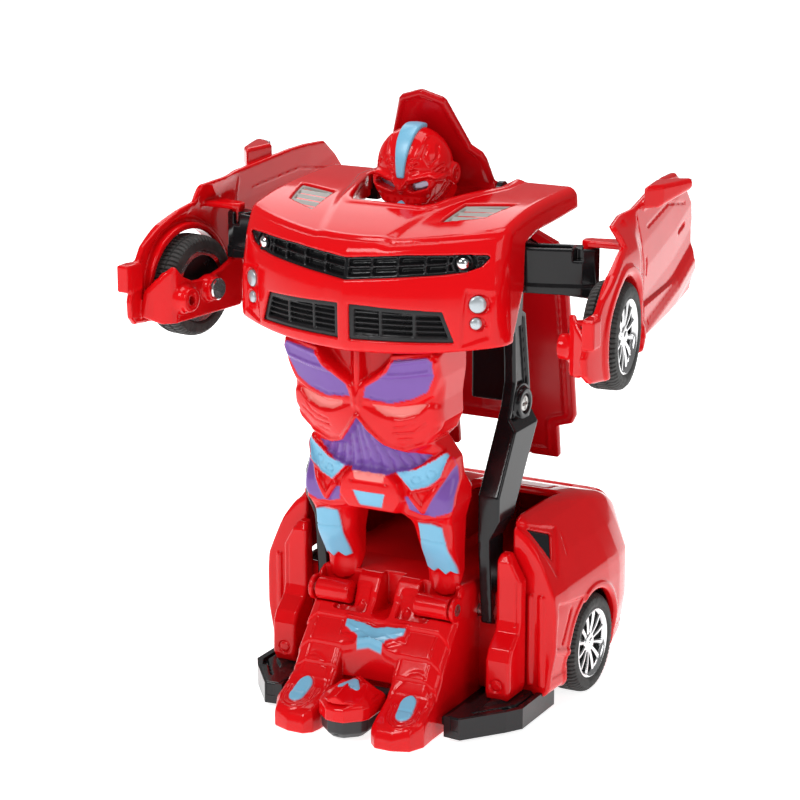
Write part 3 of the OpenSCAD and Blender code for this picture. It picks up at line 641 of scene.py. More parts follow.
# the top strip of the buckle, coloured with the painted highlight
BUCKLE_TOP_HIGHLIGHT = [(-2, 60.1), (3.7, 60.1), (4.3, 62.2), (-2, 62.2)]
GEM = [(-2, 53.7), (3, 53.7), (4.2, 57.3), (-2, 57.3)]
THIGH = [(8.7, 56.8), (9.3, 53.6), (12, 52.7), (15.6, 52.5), (20.5, 54.3), (21, 68), (19, 67), (12.9, 54),
         (10.6, 57.4)]
SHIN = [(10.7, 50.2), (14.4, 50.6), (17, 49.8), (17.4, 45.6), (18.2, 35.8), (16.6, 37.2), (15.2, 36),
        (13.6, 37.6), (12, 36.4), (10.1, 37.4), (10.5, 45.6)]
COLLAR = [(1.4, 85.2), (5.2, 88), (8, 91), (9.4, 95), (7.4, 98), (1.6, 98)]


def rib_fan(ax, z):
    """Sideways position on the abdomen, spread into a fan of ribs, and the ribs' phase."""
    fan = ax / np.clip(0.35 + (78.5 - z) * 0.052, 0.35, 1.3)
    return fan, np.cos(fan * 2 * math.pi / 2.6 + 0.6)


def torso_face(ax, z):
    """How far forward the torso's skin stands."""
    relief = np.zeros(np.shape(ax))
    pec = polygon(ax, z, PEC)
    relief += step(pec - 1.3, 0.5) * (0.7 + 0.16 * np.clip(z - 81, 0, 12))
    relief -= step(pec, 0.3) * 0.25
    plate = polygon(ax, z, PLATE)
    relief += step(plate, 0.45) * 0.9 - 0.4 * step(plate + 1.0, 0.3)
    relief -= step(path(ax, z, [(3.4, 82.5), (8, 81.9), (12, 82.9)], 0.0) - 0.12, 0.3) * 0.35
    relief -= step(polygon(ax, z, CRESCENT), 0.7) * 0.7
    rib = polygon(ax, z, RIB)
    relief += step(rib - 0.6, 0.8) * 0.7
    relief += step(path(ax, z, RIM, 0.55), 0.55) * 1.15
    relief -= step(path(ax, z, [(8.4, 73.6), (13, 74.2), (16.4, 77)], 0.0) - 0.1, 0.3) * 0.5
    relief -= step(path(ax, z, [(8.8, 75.2), (11.2, 75.6), (13.6, 76.6), (14.8, 78.4)], 0.0) - 0.1, 0.3) * 0.4
    relief -= step(path(ax, z, [(9.2, 72), (12.4, 72.4)], 0.0) - 0.1, 0.3) * 0.35
    abs_area = polygon(ax, z, ABS)
    fan, phase = rib_fan(ax, z)
    ribs = 0.5 - 0.5 * phase
    knuckles = 0.07 * np.sin(z * 2 * math.pi / 3.1 + fan * 0.8)
    relief += step(abs_area, 0.5) * (-0.8 + 0.6 * np.sqrt(ribs) + knuckles)
    relief += step(abs(ax) - 0.9, 0.8) * step(band(z, 79.5, 99), 1.0) * 0.9
    relief -= step(polygon(ax, z, COLLAR), 1.1) * 1.5
    belt = polygon(ax, z, BELT)
    relief += step(belt - 0.5, 0.35) * 1.3 - step(abs(belt + 0.5) - 0.15, 0.2) * 0.2
    for cu, cw in ((11.6, 61.4), (14.9, 63)):
        relief -= step(abs(disc(ax, z, cu, cw, 1.05)) - 0.12, 0.22) * step(cw - 0.9 - z, 0.3) * 0.4
    relief += step(polygon(ax, z, BUCKLE), 0.6) * 1.9
    relief -= step(abs(z - 59.8) - 0.15, 0.25) * step(ax - 5, 0.4) * 0.4
    relief -= step(polygon(ax, z, GEM), 0.3) * 0.45
    relief += step(polygon(ax, z, THIGH), 0.8) * 0.3
    relief += step(path(ax, z, [(10.2, 57.6), (12.9, 53.8), (19.6, 66.8)], 0.75), 0.5) * 0.9
    shin = polygon(ax, z, SHIN)
    relief += step(shin, 0.35) * 0.8 - step(abs(z - 45.5) - 0.12, 0.25) * step(shin, 0.3) * 0.4
    relief += step(path(ax, z, [(8.6, 52.2), (12.4, 51.4), (18.8, 52.8)], 0.4), 0.5) * 0.5
    leg = step(z - 50, 3)
    rounding = leg * 0.055 * (ax - 13.6) ** 2
    return torso_mid(z) + torso_bend(z) * ax * ax + rounding - relief


def torso(x, y, z):
    ax = abs(x)
    face = torso_face(ax, z)
    front = (face - y) * 0.72
    outline = polygon(ax, z, BODY)
    back = np.interp(z, [24, 30, 36.6, 58, 62, 99], [-22, -19.4, -15.6, -16.2, -20, -20])
    solid = both(both(front, outline, 1.5), y - back, 0.6)
    knuckle = both(disc(y, z, *ANKLE, 2.8), band(ax, 8.9, 17.9), 0.4)
    solid = either(solid, knuckle, 0.4)
    hollow = both(outline + 2.0, both(face + 2.6 - y, 40 - z, 0.5))
    solid = less(solid, hollow, 0.4)
    ear = both(stroke(y, z, (-23, 96), (-23, 102.46), 3.0), band(ax, 18.45, 20.25), 0.3)
    solid = either(solid, ear)
    return both(solid, -disc(y, z, *CHEST_PIN, 1.55))


def blend_paint(base, layers):
    out = np.tile(np.array(base, np.float32), (len(layers[0][0]), 1))
    for mask, colour in layers:
        out = out * (1 - mask[:, None]) + np.array(colour, np.float32) * mask[:, None]
    return out


def torso_paint(v):
    ax, y, z = abs(v[:, 0]), v[:, 1], v[:, 2]
    on = step(y - torso_face(ax, z) - 1.2, 0.3)
    edge = 0.1
    # painted shade: a dark violet laid into the grooves between the abdomen's ribs, broken up by a criss-cross
    # sine pattern
    groove_shade_mottle = 0.5 + 0.5 * np.sin(ax * 3.1 + z * 1.7) * np.sin(z * 2.3 - ax * 1.3)
    sunk = (0.12, 0.03, 0.22)
    groove = (0.5 + 0.5 * rib_fan(ax, z)[1]) ** 6 * 0.6
    abs_mask = step(polygon(ax, z, ABS) + 0.1, edge) * on
    return blend_paint(
        RED,
        [
            (step(polygon(ax, z, PEC) + 0.2, edge) * on, VIOLET),
            # painted highlight in the crescent under the chest
            (step(polygon(ax, z, CRESCENT), edge) * on, HIGHLIGHT_PINK),
            (abs_mask, VIOLET),
            # painted shade in the rib grooves
            (abs_mask * groove * groove_shade_mottle, sunk),
            (step(polygon(ax, z, THIGH), edge) * on, VIOLET),
            (step(path(ax, z, [(10.2, 57.6), (12.9, 53.8), (19.6, 66.8)], 0.8), edge) * on, RED),
            (step(polygon(ax, z, BELT), edge) * on, SKY),
            # painted highlight along the top of the buckle
            (step(polygon(ax, z, BUCKLE_TOP_HIGHLIGHT), edge) * on, HIGHLIGHT_PINK),
            (step(polygon(ax, z, GEM), edge) * on, SKY),
            (step(polygon(ax, z, SHIN) + 0.1, edge) * on, SKY),
        ],
    )


field_piece("torso_and_legs", torso, (-21, -43, 23), (21, -13, 106.5), "torso", red_paint,
            ["torso_shell", "chest_inserts", "abs_insert", "belt_panels", "shin_pads"], GRID * 0.9, torso_paint)

# ---- feet
# height of the slope and toes by y; the regions on it are in x and that height
foot_slope = curve([(-47.5, 2.2), (-46.4, 3.9), (-45.2, 5), (-42, 6.4), (-38, 8.5), (-36, 9.9), (-33.4, 13.8),
                    (-31, 18), (-27.5, 22.8), (-24, 27.2), (-21.8, 30.4)])
EMBLEM = [(-1, 14.9), (0, 14.6), (3.3, 16.8), (3.9, 19.6), (5.4, 20.4), (8, 21.3), (8.2, 23.3), (2.9, 22.9),
          (0, 22.2), (-1, 22.4)]
FOOT_PLAN = [(-2, -4.8), (19.5, -4.8), (19.6, -36), (19.9, -41), (18.2, -45), (14, -46.6), (9.6, -46.6),
             (7.8, -44.8), (7.3, -42), (7.3, -31.4), (-2, -31.4)]
ROOM = [(-26.3, 28.5), (-25.6, 26.2), (-23, 25.1), (-19.7, 25.6), (-18.9, 28.5), (-18.9, 42), (-26.3, 42)]
ROWS = [13.6, 18.0, 23.6, 29.4]


def foot_height(ax, y):
    """Top surface of the slope and the toes."""
    base = np.where(y > -21.8, np.interp(y, [-21.8, -20.6, -19, -5], [30.4, 32.4, 33.2, 33.0]), foot_slope(y))
    low, relief = 10.2, np.zeros(np.shape(ax))
    for high in ROWS:
        inside = np.clip((base - low) / (high - low), 0, 1)
        live = step(band(base, low, high), 0.15)
        relief += live * (0.15 - 0.95 * inside)
        low = high
    relief *= step(base - 29, 0.5)
    relief -= 0.85 * np.clip(ax - 16.4, 0, 9) * step(base - 30, 1.0) * step(12 - base, 3)
    for x0, low_z, high_z in ((8.9, 20.9, 23.6), (8.5, 13.6, 18.0), (16, 18.0, 23.6), (16, 13.6, 18)):
        relief -= step(abs(ax - x0) - 0.12, 0.28) * step(band(base, low_z, high_z), 0.2) * 0.5
    relief -= step(abs(base - 20.7) - 0.15, 0.3) * step(band(ax, 3.6, 8.9), 0.3) * 0.5
    ridge = step(band(base, 10.4, 18.4) - 0.2, 0.4) * step(ax - 7.2, 0.4)
    relief += ridge * np.clip(2.2 - 0.3 * ax, 0, 2.2)
    emblem = polygon(ax, base, EMBLEM)
    relief += step(emblem - 0.7, 0.3) * 0.4 + step(emblem, 0.3) * 0.7
    relief += step(abs(base - (19.2 + 0.36 * ax)) - 0.1, 0.5) * step(emblem + 0.6, 0.3) * 0.35
    pocket = both(band(ax, 4.2, 12.6), band(base, 25.1, 31), 0.8)
    relief -= step(pocket, 0.4) * np.interp(base, [25, 25.8, 29.6, 31], [0, 2.6, 1.4, 0.6])
    for cx in (6.2, 10.8):
        relief += step(disc(ax, base, cx, 27.9, 0.75), 0.5) * 1.0
    pad = stroke(ax, y, (14.0, -37.9), (14.4, -40.7), 2.0)
    relief += step(pad, 0.35) * 0.7 - step(abs(y + 39.9) - 0.15, 0.4) * step(pad, 0.3) * 0.35
    for k in (1.1, 2.1):
        relief += step(abs(pad - k) - 0.22, 0.25) * step(y + 38.2, 0.4) * 0.4
    relief -= step(abs(pad - 3.4) - 0.2, 0.3) * 0.25 * step(-37 - y, 1.0)
    relief -= step(stroke(ax, y, (18, -39.4), (19, -36.4), 0.1), 0.3) * 0.3
    return base + relief


def foot(x, y, z):
    ax = abs(x)
    slope = (z - foot_height(ax, y)) * 0.55
    plan = polygon(ax, y, FOOT_PLAN)
    solid = both(both(slope, plan, 1.2), -z, 0.5)
    boss = both(disc(y, z, *ANKLE, 3.1), band(ax, 18.5, 19.55), 0.3)
    solid = either(solid, boss)
    room = both(polygon(y, z, ROOM), band(ax, 8.3, 18.35))
    solid = less(solid, room, 0.3)
    slot = both(band(ax, -5, 2.3), band(z, 24.4, 40), 0.9)
    solid = less(solid, both(slot, y + 17), 0.4)
    trigger = both(band(ax, -9, 7.2), both(y + 26.4, z - 10.3))
    solid = less(solid, trigger, 0.2)
    under = both(both(band(ax, -9, 17.4), band(y, -25, -7)), band(z, -9, 19.4))
    solid = less(solid, under, 0.3)
    return both(solid, -disc(y, z, *ARM_FOOT, 2.05))


def foot_paint(v):
    ax, y, z = abs(v[:, 0]), v[:, 1], v[:, 2]
    base = foot_slope(np.clip(y, -47.5, -21.8))
    on = step(foot_height(ax, y) - 1.6 - z, 0.3)
    emblem = step(polygon(ax, base, EMBLEM) + 0.15, 0.1) * step(y, 0.2) * on
    pad = step(stroke(ax, y, (14.0, -37.9), (14.4, -40.7), 2.0), 0.1) * on
    return blend_paint(RED, [(np.clip(emblem, 0, 1), SKY), (pad, SKY)])


field_piece("feet", foot, (-20.5, -48, 0), (20.5, -4, 36), "base", red_paint,
            ["foot_block", "foot_emblem", "toe_pads"], GRID * 0.72,
            foot_paint)

SIDE = [(-11.6, 6.4), (-20.6, 6.4), (-21.4, 8.6), (-21.2, 16.6), (-19.8, 19.4), (-16.2, 22.4), (-15.4, 25),
        (-15.4, 39.4), (-14, 41.4), (-11.6, 41.6)]
SIDE_FRONT = [(26, 6.4), (31.8, 6.4), (32.4, 9), (32.4, 35), (28.8, 41.6), (26.6, 41.6), (26, 40)]


def side_block(x, y, z):
    body = both(polygon(y, z, SIDE), polygon(x, z, SIDE_FRONT), 0.9)
    ring = abs(disc(x, z, 29, 10.4, 1.4)) - 0.15
    body = less(body, both(ring, y + 21.0), 0.3)
    return less(body, both(stroke(x, z, (31.2, 24), (31.2, 35), 0.12), y + 15.1), 0.3)


block = field_piece("side_block_moulding_left", side_block, (25, -23, 5.5), (33, -11, 43), "base", red,
                    ["side_block_left"], FINE)
mirrored_piece(block, "side_block_moulding_right", "base", ["side_block_right"])

# ---- running boards
BOARD = [(22.6, -34.9), (26.4, -35.4), (33.9, -25.9), (36.4, -21.9), (36.4, -4.1), (22.6, -4.1)]


def running_board(x, y, z):
    """Cover over the trough beside the foot, its upper face stepped down towards the outer edge."""
    plan = polygon(x, y, BOARD)
    tread = z - 6.55 + 1.1 * step(-2.4 - plan, 0.5) * step(-24.5 - y, 1.0) - 0.5 * step(plan + 5.2, 0.6)
    groove = both(stroke(x, y, (27.5, -30.5), (33.2, -22.5), 0.18), 5.6 - z)
    return less(both(both(plan, tread * 0.8, 0.5), 2.4 - z, 0.2), groove, 0.1)


board = field_piece("running_board_left", running_board, (21.5, -36.5, 1.8), (37.5, -3, 7.8), "base",
                    gloss_black, (), FINE)
mirrored_piece(board, "running_board_right", "base")

# ---- trigger
CAP = [(-2, -34.8), (6.6, -34.8), (6.7, -43.4), (5.9, -45.2), (2.4, -48.4), (-2, -49)]


def trigger_cap(x, y, z):
    ax = abs(x)
    plan = polygon(ax, y, CAP)
    top = z - np.interp(y, [-50, -47, -44.2, -36, -34], [8.2, 9.6, 10.8, 13.0, 13.0])
    chamfer = (plan + 0.5 + (z - 9.6)) * 0.7
    body = both(both(both(plan, top, 0.6), chamfer, 0.5), 5.6 - z, 0.3)
    peak = (z - (13.6 - 0.55 * ax - 0.2 * abs(y + 39.5))) * 0.75
    body = either(body, both(both(peak, plan + 0.6), 10 - z), 0.4)
    return less(body, both(stroke(ax, y, (0, -38.6), (1.8, -41.4), 1.5), 12.1 - z), 0.25)


def trigger_gem(x, y, z):
    ax = abs(x)
    top = z - (12.7 - 0.12 * ax + 0.14 * (y + 39))
    gem = both(stroke(ax, y, (0, -38.8), (1.6, -41.2), 1.25), top, 0.35)
    return both(gem, 11.2 - z, 0.1)


def trigger_base(x, y, z):
    ax = abs(x)
    plan = polygon(ax, y, [(-2, -29.8), (6, -29.8), (6.1, -43.2), (5.4, -44.9), (2.1, -47.9), (-2, -48.4)])
    body = both(both(plan, band(z, 0.9, 8.6), 0.4), plan + 0.9 + (1.7 - z), 0.3)
    return less(body, both(np.hypot(x, z - 1.6) - 0.9, y + 47.4, 0.1), 0.15)


field_piece("trigger_cap_moulding", trigger_cap, (-7.5, -49.7, 5), (7.5, -34, 14.5), "trigger", red,
            ["trigger_cap"], FINE)
field_piece("trigger_gem_moulding", trigger_gem, (-4, -43.5, 10.5), (4, -36.5, 13.5), "trigger", sky,
            ["trigger_gem"], FINE)
field_piece("trigger_block_moulding", trigger_base, (-7.5, -49.6, 0.5), (7.5, -29, 9.8), "trigger", charcoal,
            ["trigger_block"], FINE)


# ---- rear half of the car
# the shell is the common part of three outlines; the rest are regions of its flank, top and tail
SHELL_SIDE = [(-16, 5), (-16, 50.4), (6, 50.2), (14, 49.2), (24, 47.4), (32, 45), (40, 42.2), (46, 40.4),
              (49.6, 39.6), (52, 36), (54.2, 30), (54.6, 22), (53, 11), (49, 7)]
SHELL_FRONT = [(-3, 2), (37.4, 2), (39, 7), (39.4, 10.4), (40.8, 16), (41, 26), (40.2, 31.4), (36.6, 38.4),
               (32, 45.8), (27.6, 51.2), (-3, 51.2)]
SHELL_PLAN = [(-3, -16), (39.8, -16), (41.2, -4), (41.4, 20), (40.4, 28), (38, 35.4), (34, 43), (29.6, 50),
              (24, 53.8), (-3, 55.4)]
WINDOW = [(-10.6, 48), (2.6, 43.8), (-6.2, 34.6)]
GLASS = [(-8.6, 46.2), (0.2, 42.8), (-5.4, 38)]
SCOOP = [(-8.6, 28.6), (6.6, 26.4), (-0.6, 15), (-9.6, 17.6)]
SILL = [(-9.8, 16.4), (-1.4, 13.4), (-2.8, 9.4), (-9.8, 9.8)]
TAIL = [(18, 28), (28.4, 28.6), (27.8, 33), (18, 33.4)]
LID = [(-3, 17), (24.4, 17), (23.6, 45), (-3, 46)]
SPOILER = [(-3, 45.8), (26.6, 45), (27.6, 50), (-3, 51.6)]


def shell_outer(ax, y, z, inset=0.0):
    side, front, plan = polygon(y, z, SHELL_SIDE), polygon(ax, z, SHELL_FRONT), polygon(ax, y, SHELL_PLAN)
    plan = plan + 0.3 * np.clip(z - 30, 0, 20) + 0.12 * np.clip(18 - z, 0, 20)
    return both(both(side + inset, front + inset, 2.2), plan + inset, 3.5)


def rear_shell(x, y, z):
    ax = abs(x)
    outer = both(shell_outer(ax, y, z), -11 - y, 0.6)
    flank = step(34 - ax, 1.0)
    wheel = disc(y, z, *REAR_AXLE, 0)
    relief = 0.55 * step(abs(wheel - 14.8) - 0.7, 0.45) * flank
    relief -= 0.7 * step(polygon(y, z, SCOOP), 0.4) * flank
    relief -= 0.7 * step(stroke(y, z, (-1.4, 25.4), (-5.8, 18), 0.4), 0.4) * flank
    relief -= 0.5 * step(polygon(y, z, SILL), 0.4) * flank
    relief -= 0.5 * step(polygon(y, z, WINDOW), 0.4) * step(28 - ax, 1)
    relief -= 0.4 * step(path(y, z, [(26.4, 11), (50, 12.4)], 0.1), 0.35) * flank
    relief -= 0.35 * step(path(y, z, [(2, 38), (3.6, 42), (2.4, 47.4)], 0.1), 0.4) * flank
    relief -= 0.45 * step(abs(polygon(ax, y, LID)) - 0.15, 0.32) * step(39 - z, 0.8)
    relief += 0.6 * step(polygon(ax, y, SPOILER), 0.9) * step(37 - z, 0.8)
    tail = step(49 - y, 0.8)
    relief -= 0.6 * tail * step(band(z, 21.5, 26.6), 0.4) * step(ax - 10, 0.4)
    relief -= 0.5 * tail * step(abs(z - 19.6) - 0.2, 0.35)
    relief -= 0.6 * tail * step(both(band(z, 28.6, 32.6), ax - 13.6), 0.4)
    skin = outer - relief
    shell = less(skin, both(shell_outer(ax, y, z, 1.9), -9.1 - y), 0.5)
    shell = less(shell, both(both(ax - 28.2, y - 15), 30 - z), 0.6)
    shell = less(shell, both(wheel - 13.7, 29 - ax), 0.35)
    shell = less(shell, both(polygon(y, z, GLASS), 28 - ax), 0.3)
    shell = less(shell, both(polygon(ax, z, TAIL), 43 - y), 0.3)
    bead = both(either(np.hypot(ax - 33, y + 10.9), np.hypot(ax - 36, y + 10.9)) - 0.8, band(z, 8, 31), 0.4)
    return either(shell, bead, 0.3)


field_piece("rear_body_shell", rear_shell, (-42.5, -12.4, 1.5), (42.5, 55.6, 52.4), "base", red, ["rear_shell"],
            GRID * 1.1)


def quarter_glass(x, y, z):
    ax = abs(x)
    outer = shell_outer(ax, y, z)
    pane = both(polygon(y, z, GLASS) - 0.35, both(outer + 1.1, -(outer + 1.9), 0.2), 0.1)
    return pane + np.clip(27 - ax, 0, 9)


field_piece("quarter_window_glass", quarter_glass, (-42, -10, 36.5), (42, 1.5, 47.6), "base", smoke,
            ["quarter_windows"], FINE)


def tail_lens(x, y, z):
    ax = abs(x)
    skin = shell_outer(ax, y, z)
    face = skin + 0.3 + 0.25 * step(abs(z - 30.6) - 0.2, 0.3)
    return both(polygon(ax, z, TAIL) + 0.15, both(face, -(skin + 1.6), 0.3), 0.2)


field_piece("tail_light_lenses", tail_lens, (-29.5, 44, 27), (29.5, 55.5, 34.5), "base", lens, ["tail_lights"],
            FINE)

# ---- head, roof and tail fin
EAR = (-5.4, 130)
JAW_SIDE = [(-3, 121.8), (-2, 131), (-13.6, 130.6), (-15, 128), (-14.2, 125.4), (-14.6, 123.6), (-13.2, 121.8)]
JAW_FRONT = [(-2, 121.6), (3.6, 121.6), (5.4, 123), (7.4, 125.8), (8.8, 130), (8.4, 132), (-2, 132)]
NECK = [(-12, 119.6), (-2.6, 119.6), (3.4, 124.8), (0, 134), (-8, 134), (-8, 121.8), (-12, 121.4)]


def dome_field(x, y, z):
    scaled = np.sqrt((x / 9.4) ** 2 + ((y + 7.2) / 7.6) ** 2 + ((z - 131.3) / 9.6) ** 2)
    return (scaled - 1) * 8.2


def head(x, y, z):
    ax = abs(x)
    dome = dome_field(x, y, z)
    jaw = both(polygon(y, z, JAW_SIDE), polygon(ax, z, JAW_FRONT), 2.2)
    front = step(y + 8.5, 1.5)
    relief = 0.8 * step(path(ax, z, [(0, 126.6), (1.8, 129.2), (6.8, 130.6), (8.8, 130)], 0.35), 0.5) * front
    relief += 0.5 * step(path(ax, z, [(1.8, 129.2), (3.6, 134), (4.6, 139)], 0.15), 0.5) * step(y + 6, 2)
    for p, q in (((2.2, 131.2), (4, 131.5)), ((2.2, 132.5), (4.1, 132.9)), ((2.3, 133.8), (4.2, 134.4))):
        relief -= 0.5 * step(stroke(ax, z, p, q, 0.12), 0.3) * front
    loop = path(ax, z, [(5.4, 137), (5.2, 134.6), (6.4, 132.6), (7.6, 134.6), (7, 137)], 0.1)
    relief -= 0.45 * step(loop, 0.3) * front
    for lift in (0, 1.0, 2.0):
        mark = stroke(ax, z, (7.2, 129.6 + lift), (8.6, 130.8 + lift), 0.1)
        relief -= 0.4 * step(mark, 0.25) * step(y + 5, 1)
    for run in (0, 1.3):
        relief -= 0.4 * step(stroke(y, z, (-9.6 - run, 124.6), (-8 - run, 128.6), 0.1), 0.25) * step(5 - ax, 1)
    for place in (0, 1.7, 3.4):
        relief -= 0.4 * step(stroke(ax, z, (place, 122.4), (place * 1.05, 124.4), 0.12), 0.3) * step(y + 11, 1)
    body = either(dome - relief, jaw - relief, 1.4)
    ear = both(disc(y, z, *EAR, 2.7), ax - 9.9, 0.5)
    body = either(body, both(ear, 5 - ax), 0.5)
    body = less(body, both(disc(y, z, *EAR, 1.3), 9.3 - ax), 0.3)
    body = less(body, both(stroke(ax, z, (2.6, 127.4), (6.0, 128.4), 0.95), y + 12.1 - 0.02 * ax * ax), 0.35)
    return either(body, both(polygon(y, z, NECK), ax - 6, 0.5), 0.5) * 0.85


def crest(x, y, z):
    ax = abs(x)
    dome = dome_field(x, y, z)
    half = np.interp(z, [129.2, 133, 137, 141], [0.85, 1.25, 1.8, 2.2])
    band_ = both(both(dome - 0.75, -(dome + 0.6), 0.3), ax - half, 0.3)
    band_ = both(band_, both(y + 5.2, 129.6 - z), 0.3)
    chin = both(np.sqrt(x**2 + (y + 14.0) ** 2 + (z - 122.9) ** 2) - 1.35, 121.7 - z, 0.2)
    return either(band_, chin)


def eyes(x, y, z):
    ax = abs(x)
    return both(stroke(ax, z, (2.6, 127.4), (6.0, 128.4), 1.05), abs(y + 11.7 - 0.02 * ax * ax) - 0.5, 0.15)


field_piece("helmet", head, (-10.8, -16.4, 118.8), (10.8, 4.4, 142), "roof", red, ["head"], FINE)
field_piece("helmet_crest", crest, (-3, -16.4, 121), (3, -2, 142.4), "roof", sky, ["head_crest"], FINE)
field_piece("eye_lenses", eyes, (-8.5, -13.6, 125.5), (8.5, -9.6, 130), "roof", eye_lens, ["eyes"], FINE)

ROOF_SIDE = [(6.8, 123.4), (16.5, 114.2), (25, 104.6), (29.4, 81), (34.2, 52.4), (32.3, 52), (27.5, 80.6),
             (23.1, 104), (15, 112.9), (5.1, 121.9)]
ROOF_FRONT = [(7.6, 51.4), (20.4, 51.4), (20.5, 60.6), (24.4, 61.8), (25.5, 64), (25.5, 110.6), (17, 116.8),
              (15.5, 119), (15.5, 126), (-3, 126), (-3, 60.2), (7.6, 60.2)]
HINGE_LUG = [(3.9, 124), (4.4, 121.6), (7.6, 121.6), (7.2, 125)]
SCREEN = [(-3, 107.4), (20.4, 107.4), (20.4, 110), (13.8, 116), (12.4, 119.4), (-3, 119.4)]
FIN = [(-2, -1), (15.4, -1), (15.2, 1), (14, 8), (13.2, 9.8), (10.6, 11.6), (6.2, 23.4), (5.4, 24.2), (0, 26),
       (-2, 26)]


def roof(x, y, z):
    ax = abs(x)
    sheet = polygon(y, z, ROOF_SIDE)
    outline = polygon(ax, z, ROOF_FRONT)
    relief = 0.35 * step(abs(outline + 2.6) - 0.3, 0.5) * step(z - 104, 1)
    relief -= 0.3 * step(abs(z - 96) - 0.12, 0.3)
    relief -= 0.3 * step(bars(ax, (12.5,), 0.3), 0.3) * step(z - 95, 1)
    panel = both(sheet - relief * 0.9, outline, 0.6)
    panel = less(panel, both(polygon(ax, z, SCREEN), 3 - y), 0.4)
    hinge = both(either(disc(y, z, *ROOF_HINGE, 1.8), polygon(y, z, HINGE_LUG)), ax - 15.5, 0.4)
    angle = math.atan2(9.8, 24.2)
    v = (y - 5.4) * math.cos(angle) + (z - 125) * math.sin(angle)
    w = -(y - 5.4) * math.sin(angle) + (z - 125) * math.cos(angle)
    fin_line = polygon(ax, w, FIN)
    rim = 0.5 * step(abs(fin_line + 1.0) - 0.5, 0.4)
    fin_plate = both(fin_line, abs(v) - 0.9 - np.where(v < 0, rim * 0.6, 0) + 0.2, 0.5)
    stub = both(disc(y, z, *ROOF_HINGE, 0.98), band(ax, 15.3, 17.15))
    return either(either(either(panel, hinge, 0.5), fin_plate, 0.6), stub) * 0.9


# the roof and tail fin in the darker red: painted shade
field_piece("roof_and_tail_fin", roof, (-26.3, -6.5, 50.5), (26.3, 35.4, 150.2), "roof", shaded_red,
            ["roof_panel"], GRID)

# ---- arms
YAW = math.radians(8)
POST = (-9.8, 98.2)


def wing_frame(x, y):
    """Along the fender (backward) and across it (outward)."""
    dx, dy = x - WHEEL_FACE[0], y - WHEEL_FACE[1]
    return -dx * math.sin(YAW) + dy * math.cos(YAW), dx * math.cos(YAW) + dy * math.sin(YAW)


# u runs back from the wheel, v outwards; outlines are in u and z, or in v and u for the small arms
DOOR = [(-23, 99), (-22.6, 95), (-20.4, 93), (-15, 92.4), (14, 92.4), (17, 95.4), (50, 95.6), (62, 96.6),
        (66.6, 99.6), (66, 101.6), (63.6, 104.2), (65.4, 108), (66.2, 113.6), (64.6, 118), (60, 122.8),
        (54, 127), (46, 127.3), (40, 127.1), (22, 125.2), (3.6, 123.5), (3.1, 122.6), (3.6, 119), (-2, 117.6),
        (-9, 115), (-15.6, 111), (-20.4, 105)]
DOOR_SILL = [(17, 95.6), (50, 95.8), (61, 96.8), (64.6, 100.4), (56, 102.4), (30, 102.4), (17, 102.4)]
LINER = [(-18, 94.6), (-17.2, 100.6), (-14.4, 105), (-12.4, 106.4), (-9.6, 103.6), (-6, 101.9), (-1, 101.6),
         (5, 103), (9.6, 104.9), (13, 104.6), (15, 98), (12, 92.6), (-15, 92.6)]
LINER_BACK = [(14.2, 93.4), (15.2, 104.2), (17.2, 104.2), (17.2, 95.6)]
LINER_FOOT = [(12.4, 93.4), (12.4, 99), (17.2, 99), (17.2, 95.6)]
ELBOW = [(-3, 6.4), (-3, 12.6), (-11, 11.4), (-12.3, 11.4), (-13.9, 10.4), (-13.9, 8.4), (-12.3, 7.4)]
MIRROR = [(-3.6, 23.8), (-3.6, 34), (0.4, 37.6), (3.9, 38.9), (4.5, 37.4), (3, 33.6), (0.2, 27.4)]
LUG = [(-4.6, -23.4), (-1.8, -23.7), (-1.2, -20), (-2, -17.6), (-4.6, -17.6), (-5, -22)]


